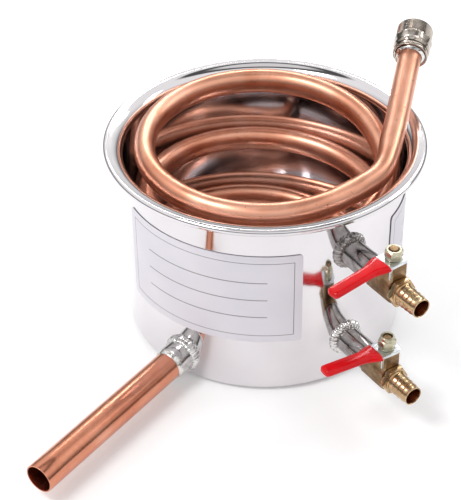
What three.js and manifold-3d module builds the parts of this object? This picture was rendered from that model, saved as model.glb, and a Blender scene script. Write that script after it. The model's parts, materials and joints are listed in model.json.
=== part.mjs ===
// Coil-in-pot chiller: a copper coil stands in a small stainless pot of cooling water.
// The hot liquid or vapour enters by the threaded inlet above the lip, runs down the coil and
// leaves by the wide outlet tube. Two ball valves pass the cooling water through the pot wall.
// Millimetres, +Z up. The origin is the middle of the pot's underside, and -Y is the front.

import * as THREE from 'three';
import { mergeVertices } from 'three/addons/utils/BufferGeometryUtils.js';
import Module from 'manifold-3d';

const wasm = await Module();
wasm.setup();

// ---------------------------------------------------------------- driving dimensions

const GAP = 0.3; // clearance left between pieces that touch
const DEGREE = Math.PI / 180;

const POT_HEIGHT = 134.5;
const POT_RADIUS = 90.8; // outside of the straight wall
const POT_WALL = 0.8;
const POT_CORNER = 6; // outside radius where the wall meets the bottom
const POT_SEGMENTS = 60;
const BEND_STEPS = 3; // facets in each bend of the pot's sheet
const BEAD_STEPS = 5;
const LIP_RADIUS = 103; // outside of the rolled edge
const LIP_BEAD = 2.2; // radius of the rolled edge
const LIP_BEAD_FROM = 158; // degrees, where the roll leaves the sheet's underside
const LIP_FILLET = 8; // bend from the wall out to the lip
const LIP_DROP = 0.6; // the lip's top face lies this far under the rolled edge

const LABEL_SWEEP = 80 * DEGREE;
const LABEL_HEIGHT = 66;
const LABEL_THICKNESS = 0.3;
const LABELS = [
  { name: 'front_label', from: -156.8 * DEGREE, bottom: 41.5 },
  { name: 'side_label', from: -31.8 * DEGREE, bottom: 38.5 },
];

const TUBE_RADIUS = 7.5; // coil tube, outside
const TUBE_BORE = 6.6;
const TUBE_STEPS = 140;
const TUBE_SIDES = 10; // flats round the tube
const TUBE_BORE_SIDES = 6;
const OVAL_ACROSS = 0.9; // bending draws the tube in towards the coil's middle
const OVAL_UPRIGHT = 1.1; // and lets it grow upright

const INLET_POINT = new THREE.Vector3(91.1, 36, 151); // on the straight inlet's axis
const INLET_HEADING = 76 * DEGREE;
const INLET_RISE = 16.5 * DEGREE;

const OUTLET_AZIMUTH = -126.5 * DEGREE;
const OUTLET_HEIGHT = 18;
const OUTLET_TUBE_RADIUS = 9.4;
const OUTLET_TUBE_BORE = 8.5;
const OUTLET_START = 66; // from the pot's axis
const OUTLET_END = 228;
const COLLAR_RADIUS = 10.8;
const COLLAR_START = 87;
const COLLAR_END = 104;
const OUTLET_WELD_RADIUS = 13.6;
const OUTLET_WELD_HEIGHT = 7.4; // off the wall

const VALVE_AZIMUTH = -57 * DEGREE;
// Each lever leans a little off square against its stop, and its handle is bent up by handleTilt or,
// where that is negative, down.
const VALVES = [
  {
    name: 'upper',
    height: 100.9,
    stemDistance: 131.5,
    nutHeight: 5,
    studAboveNut: 0.6,
    leverTurn: 3.5 * DEGREE,
    handleTilt: -5.5 * DEGREE,
  },
  {
    name: 'lower',
    height: 32.6,
    stemDistance: 131.1,
    nutHeight: 7.7,
    studAboveNut: -1.2,
    leverTurn: -1.5 * DEGREE,
    handleTilt: 4.5 * DEGREE,
  },
];

// ---------------------------------------------------------------- materials

function metal(color, roughness) {
  return new THREE.MeshStandardMaterial({ color, roughness, metalness: 1 });
}

function plastic(color, roughness) {
  return new THREE.MeshStandardMaterial({ color, roughness, metalness: 0 });
}

const makeMaterial = {
  polishedSteel: () => metal(0xd8d6d6, 0.06),
  weldedSteel: () => metal(0x9b948f, 0.35),
  copper: () => metal(0xd98b68, 0.3),
  nickel: () => metal(0xc9c3b8, 0.28),
  solder: () => metal(0xdcdad6, 0.25),
  brass: () => metal(0xc4a35d, 0.28),
  zincPlate: () => metal(0xcfd6da, 0.3),
  yellowZinc: () => metal(0xd9cf9a, 0.3),
  vinyl: () => plastic(0xe8141c, 0.18),
  ptfe: () => plastic(0xf2f2ee, 0.5),
  paper: () => plastic(0xddd8e2, 0.6),
};

// ---------------------------------------------------------------- geometry helpers

// A closed mesh as a solid that can be joined and cut.
function solid(geometry) {
  const bare = new THREE.BufferGeometry();
  bare.setAttribute('position', geometry.getAttribute('position'));
  bare.setIndex(geometry.getIndex());
  const merged = mergeVertices(bare, 1e-4);
  const index = merged.getIndex().array;
  const triangles = [];
  for (let i = 0; i < index.length; i += 3) {
    const [a, b, c] = [index[i], index[i + 1], index[i + 2]];
    if (a !== b && b !== c && c !== a) {
      triangles.push(a, b, c);
    }
  }
  return new wasm.Manifold(new wasm.Mesh({
    numProp: 3,
    vertProperties: new Float32Array(merged.getAttribute('position').array),
    triVerts: new Uint32Array(triangles),
  }));
}

function geometryOf(manifold) {
  const mesh = manifold.getMesh();
  const geometry = new THREE.BufferGeometry();
  geometry.setAttribute('position', new THREE.BufferAttribute(new Float32Array(mesh.vertProperties), 3));
  geometry.setIndex(new THREE.BufferAttribute(new Uint32Array(mesh.triVerts), 1));
  geometry.computeVertexNormals();
  return geometry;
}

// Profiles are lists of [radius, height] and are turned about an axis.
function lathe(profile, segments) {
  return new THREE.LatheGeometry(profile.map(([r, h]) => new THREE.Vector2(r, h)), segments);
}

function turnedUpright(profile, segments = 24) {
  return lathe(profile, segments).rotateX(Math.PI / 2);
}

function turnedAlongX(profile, segments = 24) {
  return lathe(profile, segments).rotateZ(-Math.PI / 2);
}

// A ring's profile, closed on itself, with the body inside its outline.
function ringProfile(inner, outer, low, high) {
  return [[inner, low], [outer, low], [outer, high], [inner, high], [inner, low]];
}

function rodProfile(radius, low, high) {
  return [[0, low], [radius, low], [radius, high], [0, high]];
}

function polygon(points) {
  return new THREE.Shape(points.map(([x, y]) => new THREE.Vector2(x, y)));
}

// The corners of a regular polygon, counter-clockwise.
function regularPoints(radius, sides) {
  const points = [];
  for (let i = 0; i < sides; i += 1) {
    const angle = 2 * Math.PI * i / sides;
    points.push([radius * Math.cos(angle), radius * Math.sin(angle)]);
  }
  return points;
}

// A hexagon that measures acrossFlats between two flats.
function hexagon(acrossFlats, bore = 0) {
  const shape = polygon(regularPoints(acrossFlats / 2 / Math.cos(Math.PI / 6), 6));
  if (bore > 0) {
    shape.holes.push(new THREE.Path().absarc(0, 0, bore, 0, 2 * Math.PI, true));
  }
  return shape;
}

// A square with its corners cut off.
function chamferedSquare(half, chamfer) {
  const inner = half - chamfer;
  return polygon([
    [half, -inner], [half, inner], [inner, half], [-inner, half],
    [-half, inner], [-half, -inner], [-inner, -half], [inner, -half],
  ]);
}

function extruded(shape, low, high, curveSegments = 12) {
  const options = { depth: high - low, bevelEnabled: false, curveSegments };
  return new THREE.ExtrudeGeometry(shape, options).translate(0, 0, low);
}

// The same, extruded along X.
function extrudedAlongX(shape, low, high, curveSegments = 12) {
  return extruded(shape, low, high, curveSegments).rotateY(Math.PI / 2);
}

function mesh(name, geometry, material) {
  const piece = new THREE.Mesh(geometry, material);
  piece.name = name;
  return piece;
}

// A rod along X that starts on the pot's axis, swung to an azimuth and lifted, for drilling the wall.
function wallDrill(radius, azimuth, height) {
  const middle = POT_RADIUS;
  const reach = 12;
  return solid(turnedAlongX(rodProfile(radius, middle - reach, middle + reach), 32)
    .rotateZ(azimuth)
    .translate(0, 0, height));
}

// ---------------------------------------------------------------- pot and labels

function potProfile() {
  const arc = (cx, cz, radius, from, to, steps) => {
    const points = [];
    for (let i = 0; i <= steps; i += 1) {
      const angle = (from + (to - from) * i / steps) * DEGREE;
      points.push([cx + radius * Math.cos(angle), cz + radius * Math.sin(angle)]);
    }
    return points;
  };
  const cornerRadius = POT_RADIUS - POT_CORNER;
  const lipTop = POT_HEIGHT - LIP_DROP;
  const filletX = POT_RADIUS + LIP_FILLET;
  const filletZ = lipTop - POT_WALL - LIP_FILLET;
  const beadX = LIP_RADIUS - LIP_BEAD;
  const beadZ = POT_HEIGHT - LIP_BEAD;
  return [
    [0, 0],
    ...arc(cornerRadius, POT_CORNER, POT_CORNER, -90, 0, BEND_STEPS),
    ...arc(filletX, filletZ, LIP_FILLET, 180, 90, BEND_STEPS),
    ...arc(beadX, beadZ, LIP_BEAD, LIP_BEAD_FROM, 450, BEAD_STEPS),
    ...arc(filletX, filletZ, LIP_FILLET + POT_WALL, 90, 180, BEND_STEPS),
    ...arc(cornerRadius, POT_CORNER, POT_CORNER - POT_WALL, 0, -90, BEND_STEPS),
    [0, POT_WALL],
  ];
}

function potShell() {
  let pot = solid(turnedUpright(potProfile(), POT_SEGMENTS));
  pot = pot.subtract(wallDrill(COLLAR_RADIUS + GAP, OUTLET_AZIMUTH, OUTLET_HEIGHT));
  for (const valve of VALVES) {
    pot = pot.subtract(wallDrill(NIPPLE_RADIUS + GAP, VALVE_AZIMUTH, valve.height));
  }
  return mesh('pot_shell', geometryOf(pot), makeMaterial.polishedSteel());
}

// Paper stickers wrapped on the wall.
function label({ name, from, bottom }) {
  const inner = POT_RADIUS + GAP;
  const outer = inner + LABEL_THICKNESS;
  const steps = 16;
  const outerEdge = [];
  const innerEdge = [];
  for (let i = 0; i <= steps; i += 1) {
    const angle = from + LABEL_SWEEP * i / steps;
    outerEdge.push([outer * Math.cos(angle), outer * Math.sin(angle)]);
    innerEdge.push([inner * Math.cos(angle), inner * Math.sin(angle)]);
  }
  const sheet = polygon([...outerEdge, ...innerEdge.reverse()]);
  return mesh(name, extruded(sheet, bottom, bottom + LABEL_HEIGHT), makeMaterial.paper());
}

// ---------------------------------------------------------------- coil

const INLET_DIRECTION = new THREE.Vector3(
  Math.cos(INLET_RISE) * Math.cos(INLET_HEADING),
  Math.cos(INLET_RISE) * Math.sin(INLET_HEADING),
  Math.sin(INLET_RISE),
);
const OUTLET_DIRECTION = new THREE.Vector3(Math.cos(OUTLET_AZIMUTH), Math.sin(OUTLET_AZIMUTH), 0);

// Where the winding runs. Angles go on past a full turn, and the coil runs clockwise seen from above.
// Each station gives the turn's centre, its radius and its height; between stations they change evenly.
const WINDING = [
  { angle: -50, x: -2.3, y: 0.4, radius: 74.1, z: 126.2 },
  { angle: -90, x: -2.3, y: 0.4, radius: 74.1, z: 125.6 },
  { angle: -180, x: -2.3, y: 0.4, radius: 74.1, z: 129.3 },
  { angle: -270, x: -2.3, y: 0.4, radius: 74.1, z: 132.0 },
  { angle: -330, x: -1.5, y: 0.4, radius: 75.0, z: 126.5 },
  { angle: -385, x: 0, y: 0.4, radius: 79.0, z: 109.5 },
  { angle: -450, x: 0, y: 3, radius: 79.0, z: 97.5 },
  { angle: -540, x: 0.7, y: 5.5, radius: 76.6, z: 89.1 },
  { angle: -630, x: 0.7, y: 5.5, radius: 76.6, z: 81.4 },
  { angle: -720, x: 0.7, y: 4, radius: 77.5, z: 73.0 },
  { angle: -810, x: 0, y: 2, radius: 79.5, z: 60.0 },
  { angle: -900, x: 0, y: 1.5, radius: 80.5, z: 45.0 },
  { angle: -990, x: 0, y: 1.5, radius: 80.5, z: 32.7 },
  { angle: -1035, x: 0, y: 1, radius: 78.0, z: 27.0 },
  { angle: -1080, x: 0, y: 0, radius: 71.0, z: 22.0 },
  { angle: -1110, x: 0, y: 0, radius: 59.0, z: 19.2 },
  { angle: -1140, x: 0, y: 0, radius: 47.5, z: 18.0 },
  { angle: -1165, x: 0, y: 0, radius: 41.5, z: OUTLET_HEIGHT },
];
const WINDING_STEP = 15; // degrees between the points of the path

// Between two stations everything eases along a curve that is level with the neighbours' slopes.
function windingAt(angle) {
  const last = WINDING.length - 1;
  let i = 0;
  while (i < last - 1 && angle < WINDING[i + 1].angle) {
    i += 1;
  }
  const before = WINDING[Math.max(i - 1, 0)];
  const start = WINDING[i];
  const end = WINDING[i + 1];
  const after = WINDING[Math.min(i + 2, last)];
  const span = end.angle - start.angle;
  const t = (angle - start.angle) / span;
  const ease = (key) => {
    const slopeIn = (end[key] - before[key]) / (end.angle - before.angle) * span;
    const slopeOut = (after[key] - start[key]) / (after.angle - start.angle) * span;
    const t2 = t * t;
    const t3 = t2 * t;
    return (2 * t3 - 3 * t2 + 1) * start[key] + (t3 - 2 * t2 + t) * slopeIn
      + (3 * t2 - 2 * t3) * end[key] + (t3 - t2) * slopeOut;
  };
  const radius = ease('radius');
  return new THREE.Vector3(
    ease('x') + radius * Math.cos(angle * DEGREE),
    ease('y') + radius * Math.sin(angle * DEGREE),
    ease('z'),
  );
}

const alongInlet = (distance) => INLET_POINT.clone().addScaledVector(INLET_DIRECTION, distance);
const alongOutlet = (distance) => OUTLET_DIRECTION.clone().multiplyScalar(distance).setZ(OUTLET_HEIGHT);

// Points of the straight ends: along the inlet's axis from inside the adapter, then from the pot's
// axis to inside the outlet tube. Between them the tube leaves and joins the winding.
const TUBE_INLET_RUN = [37, 25, 10, -5, -20];
const TUBE_OUTLET_RUN = [57, 65, 73, 82];
const WINDING_ENTRY = [[79.6, -9, 137.3], [70.6, -35, 129.2]];
const WINDING_EXIT = [[-13.5, -38.6, OUTLET_HEIGHT], [-26.5, -38.8, OUTLET_HEIGHT]];

function coilPath() {
  const points = TUBE_INLET_RUN.map(alongInlet);
  points.push(...WINDING_ENTRY.map((place) => new THREE.Vector3(...place)));
  const first = WINDING[0].angle;
  const last = WINDING[WINDING.length - 1].angle;
  for (let angle = first; angle >= last; angle -= WINDING_STEP) {
    points.push(windingAt(angle));
  }
  points.push(...WINDING_EXIT.map((place) => new THREE.Vector3(...place)));
  points.push(...TUBE_OUTLET_RUN.map(alongOutlet));
  return points;
}

// A path whose cross-section stays upright and is ovalled in the bends.
class TubePath extends THREE.CatmullRomCurve3 {
  computeFrenetFrames(segments) {
    const up = new THREE.Vector3(0, 0, 1);
    const tangents = [];
    const normals = [];
    const binormals = [];
    for (let i = 0; i <= segments; i += 1) {
      const tangent = this.getTangentAt(i / segments).normalize();
      const level = new THREE.Vector3().crossVectors(up, tangent).normalize();
      const upright = new THREE.Vector3().crossVectors(tangent, level).normalize();
      const bend = this.bendAt(i / segments);
      tangents.push(tangent);
      normals.push(level.multiplyScalar(1 + (OVAL_ACROSS - 1) * bend));
      binormals.push(upright.multiplyScalar(1 + (OVAL_UPRIGHT - 1) * bend));
    }
    return { tangents, normals, binormals };
  }

  // 0 where the path is straight, 1 where it bends as tightly as the coil's turns.
  bendAt(u) {
    const reach = 0.012; // as a part of the path's length
    const tightRadius = 90;
    const before = this.getTangentAt(Math.max(u - reach, 0));
    const after = this.getTangentAt(Math.min(u + reach, 1));
    const fullBend = 2 * reach * this.getLength() / tightRadius;
    return Math.min(before.angleTo(after) / fullBend, 1);
  }
}

function coilTube() {
  const path = new TubePath(coilPath(), false, 'centripetal');
  path.arcLengthDivisions = 3000;
  const section = polygon(regularPoints(TUBE_RADIUS, TUBE_SIDES));
  const bore = regularPoints(TUBE_BORE, TUBE_BORE_SIDES).map(([x, y]) => new THREE.Vector2(x, y));
  section.holes.push(new THREE.Path(bore.reverse()));
  const options = { steps: TUBE_STEPS, extrudePath: path, bevelEnabled: false };
  return mesh('coil_tube', new THREE.ExtrudeGeometry(section, options), makeMaterial.copper());
}

// ---------------------------------------------------------------- inlet fitting

const SOLDER_START = 23.2; // along the inlet's axis
const SLEEVE_START = 24.5;
const ADAPTER_START = 28.6;
const ADAPTER_SHOULDER_END = 38;
const ADAPTER_END = 48.5;
const ADAPTER_SHOULDER_RADIUS = 12.6;
const ADAPTER_MOUTH_RADIUS = 9.4;
const ADAPTER_TUBE_STOP = 37.6;
const SLEEVE_MOUTH_RADIUS = 11.7;
const SLEEVE_RADIUS = 11.2;
const ADAPTER_THREAD_RADIUS = 12;
const THREAD_PITCH = 1.5;
const THREAD_DEPTH = 0.9;

function inletFitting() {
  const group = new THREE.Group();
  group.position.copy(INLET_POINT);
  group.quaternion.setFromUnitVectors(new THREE.Vector3(1, 0, 0), INLET_DIRECTION);

  const tubeClear = TUBE_RADIUS + GAP;
  const threadRoot = ADAPTER_THREAD_RADIUS - THREAD_DEPTH;
  const thread = [];
  for (let x = ADAPTER_SHOULDER_END + THREAD_PITCH; x < ADAPTER_END - THREAD_PITCH; x += THREAD_PITCH) {
    thread.push([threadRoot, x], [ADAPTER_THREAD_RADIUS, x + THREAD_PITCH / 2]);
  }
  const shell = solid(turnedAlongX([
    [tubeClear, ADAPTER_START],
    [ADAPTER_SHOULDER_RADIUS - 1, ADAPTER_START],
    [ADAPTER_SHOULDER_RADIUS, ADAPTER_START + 1.6],
    [ADAPTER_SHOULDER_RADIUS, ADAPTER_SHOULDER_END - 1],
    [ADAPTER_SHOULDER_RADIUS - 0.7, ADAPTER_SHOULDER_END],
    [threadRoot, ADAPTER_SHOULDER_END + 0.3],
    ...thread,
    [threadRoot, ADAPTER_END - 1],
    [threadRoot - 0.6, ADAPTER_END],
    [ADAPTER_MOUTH_RADIUS, ADAPTER_END],
    [ADAPTER_MOUTH_RADIUS, ADAPTER_TUBE_STOP],
    [tubeClear, ADAPTER_TUBE_STOP],
    [tubeClear, ADAPTER_START],
  ], 28));
  group.add(mesh('inlet_adapter', geometryOf(shell), makeMaterial.nickel()));

  const sleeveEnd = ADAPTER_START - GAP;
  group.add(mesh('inlet_sleeve', turnedAlongX([
    [tubeClear, SLEEVE_START + 1.9],
    [SLEEVE_MOUTH_RADIUS - 1, SLEEVE_START],
    [SLEEVE_MOUTH_RADIUS, SLEEVE_START],
    [SLEEVE_MOUTH_RADIUS, SLEEVE_START + 1.1],
    [SLEEVE_RADIUS, SLEEVE_START + 2.1],
    [SLEEVE_RADIUS, sleeveEnd],
    [tubeClear, sleeveEnd],
    [tubeClear, SLEEVE_START + 1.9],
  ], 24), makeMaterial.nickel()));

  group.add(mesh('inlet_solder', turnedAlongX([
    [tubeClear, SOLDER_START],
    [tubeClear + 0.8, SOLDER_START + 0.5],
    [tubeClear + 1.6, SOLDER_START + 1.4],
    [tubeClear, SOLDER_START + 2.7],
    [tubeClear, SOLDER_START],
  ], 20), makeMaterial.solder()));
  return group;
}

// ---------------------------------------------------------------- outlet

// A round bead in the corner between a pipe and the wall. The pot's axis is stemDistance behind the
// origin, and the part of the ring that would lie in the wall is cut away.
function weldBead(inner, outer, height, stemDistance = 0) {
  const insideWall = POT_RADIUS - 4;
  const bead = solid(turnedAlongX([
    [inner, insideWall],
    [outer, insideWall],
    [outer, POT_RADIUS + 0.9],
    [(inner + 2 * outer) / 3, POT_RADIUS + 0.7 * height],
    [(2 * inner + outer) / 3, POT_RADIUS + 0.95 * height],
    [inner, POT_RADIUS + height],
    [inner, insideWall],
  ], 28));
  const wall = solid(turnedUpright(rodProfile(POT_RADIUS + GAP, -2 * outer, 2 * outer), 90));
  return geometryOf(bead.subtract(wall)).translate(-stemDistance, 0, 0);
}

function outlet() {
  const group = new THREE.Group();
  group.rotation.z = OUTLET_AZIMUTH;
  group.position.z = OUTLET_HEIGHT;

  const tubeClear = OUTLET_TUBE_RADIUS + GAP;
  const collar = turnedAlongX([
    [tubeClear, COLLAR_START],
    [COLLAR_RADIUS, COLLAR_START],
    [COLLAR_RADIUS, COLLAR_END - 0.6],
    [COLLAR_RADIUS - 0.5, COLLAR_END],
    [tubeClear, COLLAR_END],
    [tubeClear, COLLAR_START],
  ], 32);
  group.add(mesh('outlet_collar', collar, makeMaterial.polishedSteel()));
  const weld = weldBead(COLLAR_RADIUS + GAP, OUTLET_WELD_RADIUS, OUTLET_WELD_HEIGHT);
  group.add(mesh('outlet_weld', weld, makeMaterial.weldedSteel()));
  const tube = turnedAlongX(ringProfile(OUTLET_TUBE_BORE, OUTLET_TUBE_RADIUS, OUTLET_START, OUTLET_END), 32);
  group.add(mesh('outlet_tube', tube, makeMaterial.copper()));

  const filletStart = COLLAR_END + GAP;
  group.add(mesh('outlet_solder', turnedAlongX([
    [tubeClear, filletStart],
    [COLLAR_RADIUS - 0.2, filletStart],
    [COLLAR_RADIUS - 0.6, filletStart + 1.2],
    [tubeClear + 0.5, filletStart + 2.6],
    [tubeClear, filletStart + 3],
    [tubeClear, filletStart],
  ], 24), makeMaterial.solder()));

  // The coil's end slips into the outlet tube, and a brazed fillet closes the step between them.
  const brazeEnd = OUTLET_START - GAP;
  const brazeBore = TUBE_RADIUS + 0.7; // clear of the ovalled tube
  group.add(mesh('coil_end_braze', turnedAlongX([
    [brazeBore, brazeEnd - 3],
    [brazeBore + 0.4, brazeEnd - 2.6],
    [OUTLET_TUBE_RADIUS + 0.4, brazeEnd - 0.6],
    [OUTLET_TUBE_RADIUS, brazeEnd],
    [brazeBore, brazeEnd],
    [brazeBore, brazeEnd - 3],
  ], 20), makeMaterial.solder()));
  return group;
}

// ---------------------------------------------------------------- ball valves
// Each valve is built about the point where its stem crosses its flow axis: X runs outwards along the
// flow, Y across it, Z up. The valves are shut, so the levers stand across the flow.

const NIPPLE_RADIUS = 8.7;
const NIPPLE_BORE = 5;
const NIPPLE_WELD_RADIUS = 12.4;
const NIPPLE_WELD_HEIGHT = 3.4;
const NIPPLE_START = -45;
const NIPPLE_END = -14.5;
const MALE_THREAD_RADIUS = 6.4;
const MALE_THREAD_START = -25;
const BODY_START = -13.8;
const BODY_END = 6.4;
const BODY_HALF = 7.6;
const BODY_CHAMFER = 2.4;
const BOSS_HALF = 6.4;
const BOSS_CHAMFER = 1.6;
const BOSS_TOP = 17.7;
const PORT_RADIUS = 3.5;
const CAVITY_RADIUS = 6.1;
const CAVITY_START = -6.4;
const BALL_RADIUS = 5.4;
const STEM_RADIUS = 3;
const STEM_FOOT = 5.9; // where the round stem ends, over the ball
const PACKING_FLOOR = 8;
const PACKING_RADIUS = 4.7;
const SEAT_INNER_RADIUS = 3.9;
const SEAT_RADIUS = CAVITY_RADIUS - GAP;
const SEAT_NEAR = 4.1; // the seats' faces, from the ball's middle
const SEAT_FAR = 6.1;
const TAIL_FLANGE_START = BODY_END + GAP;
const TAIL_FLANGE_END = 10.8;
const TAIL_FLANGE_ACROSS_FLATS = 16.5;
const TAIL_SHOULDER_RADIUS = 7.4;
const TAIL_END = 27.3;
const RIDGES = 4;
const RIDGE_START = 11.8;
const RIDGE_LENGTH = 3.6;
const RIDGE_RADIUS = 7; // crest of the first ridge
const RIDGE_STEP = 0.15; // each next crest is lower by this much
const RIDGE_DEPTH = 0.6;
const LEVER_BOTTOM = BOSS_TOP + GAP;
const LEVER_THICKNESS = 1.8;
const LEVER_TOP = LEVER_BOTTOM + LEVER_THICKNESS;
const WASHER_THICKNESS = 0.8;
const WASHER_RADIUS = 5;
const NUT_BOTTOM = LEVER_TOP + WASHER_THICKNESS + 2 * GAP;
const NUT_ACROSS_FLATS = 9.7;
const PLATE_HALF = 6.9; // half of the lever plate's width
const HANDLE_BEND = -8.4; // where the handle leaves the flat of the lever
const HANDLE_HALF = 3;
const HANDLE_END = -44;
const GRIP_ROOT = HANDLE_BEND - 0.9;
const GRIP_TIP = HANDLE_END - 3.2;
const GRIP_ROOT_HALF = 7.8;
const GRIP_HALF = 4.9;
const GRIP_CORNER = 3.4; // rounding of the tip's corners
const GRIP_THICKNESS = 5.2;

function nipple() {
  const threadClear = MALE_THREAD_RADIUS + GAP;
  const socketFloor = MALE_THREAD_START - 1;
  return turnedAlongX([
    [NIPPLE_BORE, NIPPLE_START],
    [NIPPLE_RADIUS, NIPPLE_START],
    [NIPPLE_RADIUS, NIPPLE_END],
    [threadClear, NIPPLE_END],
    [threadClear, socketFloor],
    [NIPPLE_BORE, socketFloor],
    [NIPPLE_BORE, NIPPLE_START],
  ], 28);
}

function valveBody() {
  const block = solid(extrudedAlongX(chamferedSquare(BODY_HALF, BODY_CHAMFER), BODY_START, BODY_END));
  const boss = solid(extruded(chamferedSquare(BOSS_HALF, BOSS_CHAMFER), 0, BOSS_TOP));
  const thread = solid(turnedAlongX(rodProfile(MALE_THREAD_RADIUS, MALE_THREAD_START, 0), 24));
  const flowBore = solid(turnedAlongX([
    [0, MALE_THREAD_START - 1],
    [PORT_RADIUS, MALE_THREAD_START - 1],
    [PORT_RADIUS, CAVITY_START],
    [CAVITY_RADIUS, CAVITY_START],
    [CAVITY_RADIUS, BODY_END + 1],
    [0, BODY_END + 1],
  ], 24));
  const stemBore = solid(turnedUpright([
    [0, 0],
    [STEM_RADIUS + GAP, 0],
    [STEM_RADIUS + GAP, PACKING_FLOOR],
    [PACKING_RADIUS + GAP, PACKING_FLOOR],
    [PACKING_RADIUS + GAP, BOSS_TOP + 1],
    [0, BOSS_TOP + 1],
  ], 20));
  return geometryOf(block.add(boss).add(thread).subtract(flowBore).subtract(stemBore));
}

// Hexagon flange and ridged hose barb, turned from one bar.
function barbTail() {
  const spigotStart = SEAT_FAR + GAP;
  const ridges = [];
  for (let i = 0; i < RIDGES; i += 1) {
    const x = RIDGE_START + i * RIDGE_LENGTH;
    const crest = RIDGE_RADIUS - i * RIDGE_STEP;
    ridges.push([crest, x], [crest - RIDGE_DEPTH, x + RIDGE_LENGTH - 0.2]);
  }
  const turned = solid(turnedAlongX([
    [0, spigotStart],
    [CAVITY_RADIUS - GAP, spigotStart],
    [CAVITY_RADIUS - GAP, TAIL_FLANGE_START + 1],
    [TAIL_SHOULDER_RADIUS, TAIL_FLANGE_START + 1],
    [TAIL_SHOULDER_RADIUS, TAIL_FLANGE_END + 0.3],
    ...ridges,
    [6.2, TAIL_END],
    [0, TAIL_END],
  ], 24));
  const nutFlange = hexagon(TAIL_FLANGE_ACROSS_FLATS);
  const flange = solid(extrudedAlongX(nutFlange, TAIL_FLANGE_START, TAIL_FLANGE_END));
  const bore = solid(turnedAlongX([
    [0, spigotStart - 1],
    [3.8, spigotStart - 1],
    [4.7, TAIL_FLANGE_END],
    [5.3, TAIL_END + 1],
    [0, TAIL_END + 1],
  ], 24));
  return geometryOf(turned.add(flange).subtract(bore));
}

// The ball's port runs across the flow while the valve is shut.
function ball() {
  const sphere = solid(new THREE.SphereGeometry(BALL_RADIUS, 20, 14).rotateX(Math.PI / 2));
  const reach = 2 * BALL_RADIUS;
  const port = solid(turnedAlongX(rodProfile(PORT_RADIUS - 0.3, -reach, reach), 16).rotateZ(Math.PI / 2));
  const slot = solid(new THREE.BoxGeometry(2.2, reach, 3).translate(0, 0, BALL_RADIUS));
  return geometryOf(sphere.subtract(port).subtract(slot));
}

function stem(top) {
  const rod = solid(turnedUpright([
    [0, STEM_FOOT],
    [STEM_RADIUS, STEM_FOOT],
    [STEM_RADIUS, top - 0.4],
    [STEM_RADIUS - 0.4, top],
    [0, top],
  ], 20));
  const tang = solid(new THREE.BoxGeometry(1.5, 3.4, 3).translate(0, 0, STEM_FOOT - 0.1));
  return geometryOf(rod.add(tang));
}

// Handle shapes are drawn with the bend on the X axis, and tilted about it.
function tilted(geometry, tilt) {
  const middle = LEVER_BOTTOM + LEVER_THICKNESS / 2;
  return solid(geometry
    .translate(0, -HANDLE_BEND, -middle)
    .rotateX(-tilt)
    .translate(0, HANDLE_BEND, middle));
}

// A stamped plate with a stop tab bent down at its outer edge. Its handle runs on inside the grip.
function leverPlate(tilt) {
  const flat = polygon([
    [PLATE_HALF, 4.6], [4.4, 7.2], [-4.4, 7.2], [-PLATE_HALF, 4.6],
    [-PLATE_HALF, HANDLE_BEND - 0.1], [PLATE_HALF, HANDLE_BEND - 0.1],
  ]);
  flat.holes.push(new THREE.Path().absarc(0, 0, STEM_RADIUS + GAP, 0, 2 * Math.PI, true));
  const handle = polygon([
    [PLATE_HALF, HANDLE_BEND + 0.1], [-PLATE_HALF, HANDLE_BEND + 0.1], [-PLATE_HALF, -9.5],
    [-4.2, -16], [-HANDLE_HALF, -20], [-HANDLE_HALF, HANDLE_END],
    [HANDLE_HALF, HANDLE_END], [HANDLE_HALF, -20], [4.2, -16], [PLATE_HALF, -9.5],
  ]);
  const tabWidth = 1.2;
  const tabHeight = 7.4;
  const tab = solid(new THREE.BoxGeometry(tabWidth, 1.4, tabHeight)
    .translate(PLATE_HALF - tabWidth / 2, -7.6, LEVER_BOTTOM + 0.5 - tabHeight / 2));
  return geometryOf(solid(extruded(flat, LEVER_BOTTOM, LEVER_TOP, 8))
    .add(tilted(extruded(handle, LEVER_BOTTOM, LEVER_TOP), tilt))
    .add(tab));
}

// The dipped grip is wide where it meets the plate, then narrows to a blunt tip.
function grip(tilt) {
  const neck = -23; // where the sides become straight
  const cornerX = GRIP_HALF - GRIP_CORNER;
  const cornerY = GRIP_TIP + GRIP_CORNER;
  const shape = new THREE.Shape();
  shape.moveTo(-GRIP_ROOT_HALF, GRIP_ROOT);
  shape.bezierCurveTo(-7.6, -15, -5.6, -18, -GRIP_HALF, neck);
  shape.lineTo(-GRIP_HALF, cornerY);
  shape.absarc(-cornerX, cornerY, GRIP_CORNER, Math.PI, 1.5 * Math.PI, false);
  shape.absarc(cornerX, cornerY, GRIP_CORNER, 1.5 * Math.PI, 2 * Math.PI, false);
  shape.lineTo(GRIP_HALF, neck);
  shape.bezierCurveTo(5.6, -18, 7.6, -15, GRIP_ROOT_HALF, GRIP_ROOT);
  shape.closePath();
  const middle = LEVER_BOTTOM + LEVER_THICKNESS / 2;
  const outer = extruded(shape, middle - GRIP_THICKNESS / 2, middle + GRIP_THICKNESS / 2, 5);
  const clear = GAP + 0.05;
  const pocketRoot = PLATE_HALF + 0.4;
  const pocketHalf = HANDLE_HALF + clear;
  const pocket = polygon([
    [-pocketRoot, GRIP_ROOT + 1], [-pocketRoot, -9.8], [-4.6, -16], [-pocketHalf, -20.2],
    [-pocketHalf, HANDLE_END - clear], [pocketHalf, HANDLE_END - clear],
    [pocketHalf, -20.2], [4.6, -16], [pocketRoot, -9.8], [pocketRoot, GRIP_ROOT + 1],
  ]);
  const hollow = extruded(pocket, LEVER_BOTTOM - clear, LEVER_TOP + clear);
  return geometryOf(tilted(outer, tilt).subtract(tilted(hollow, tilt)));
}

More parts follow.
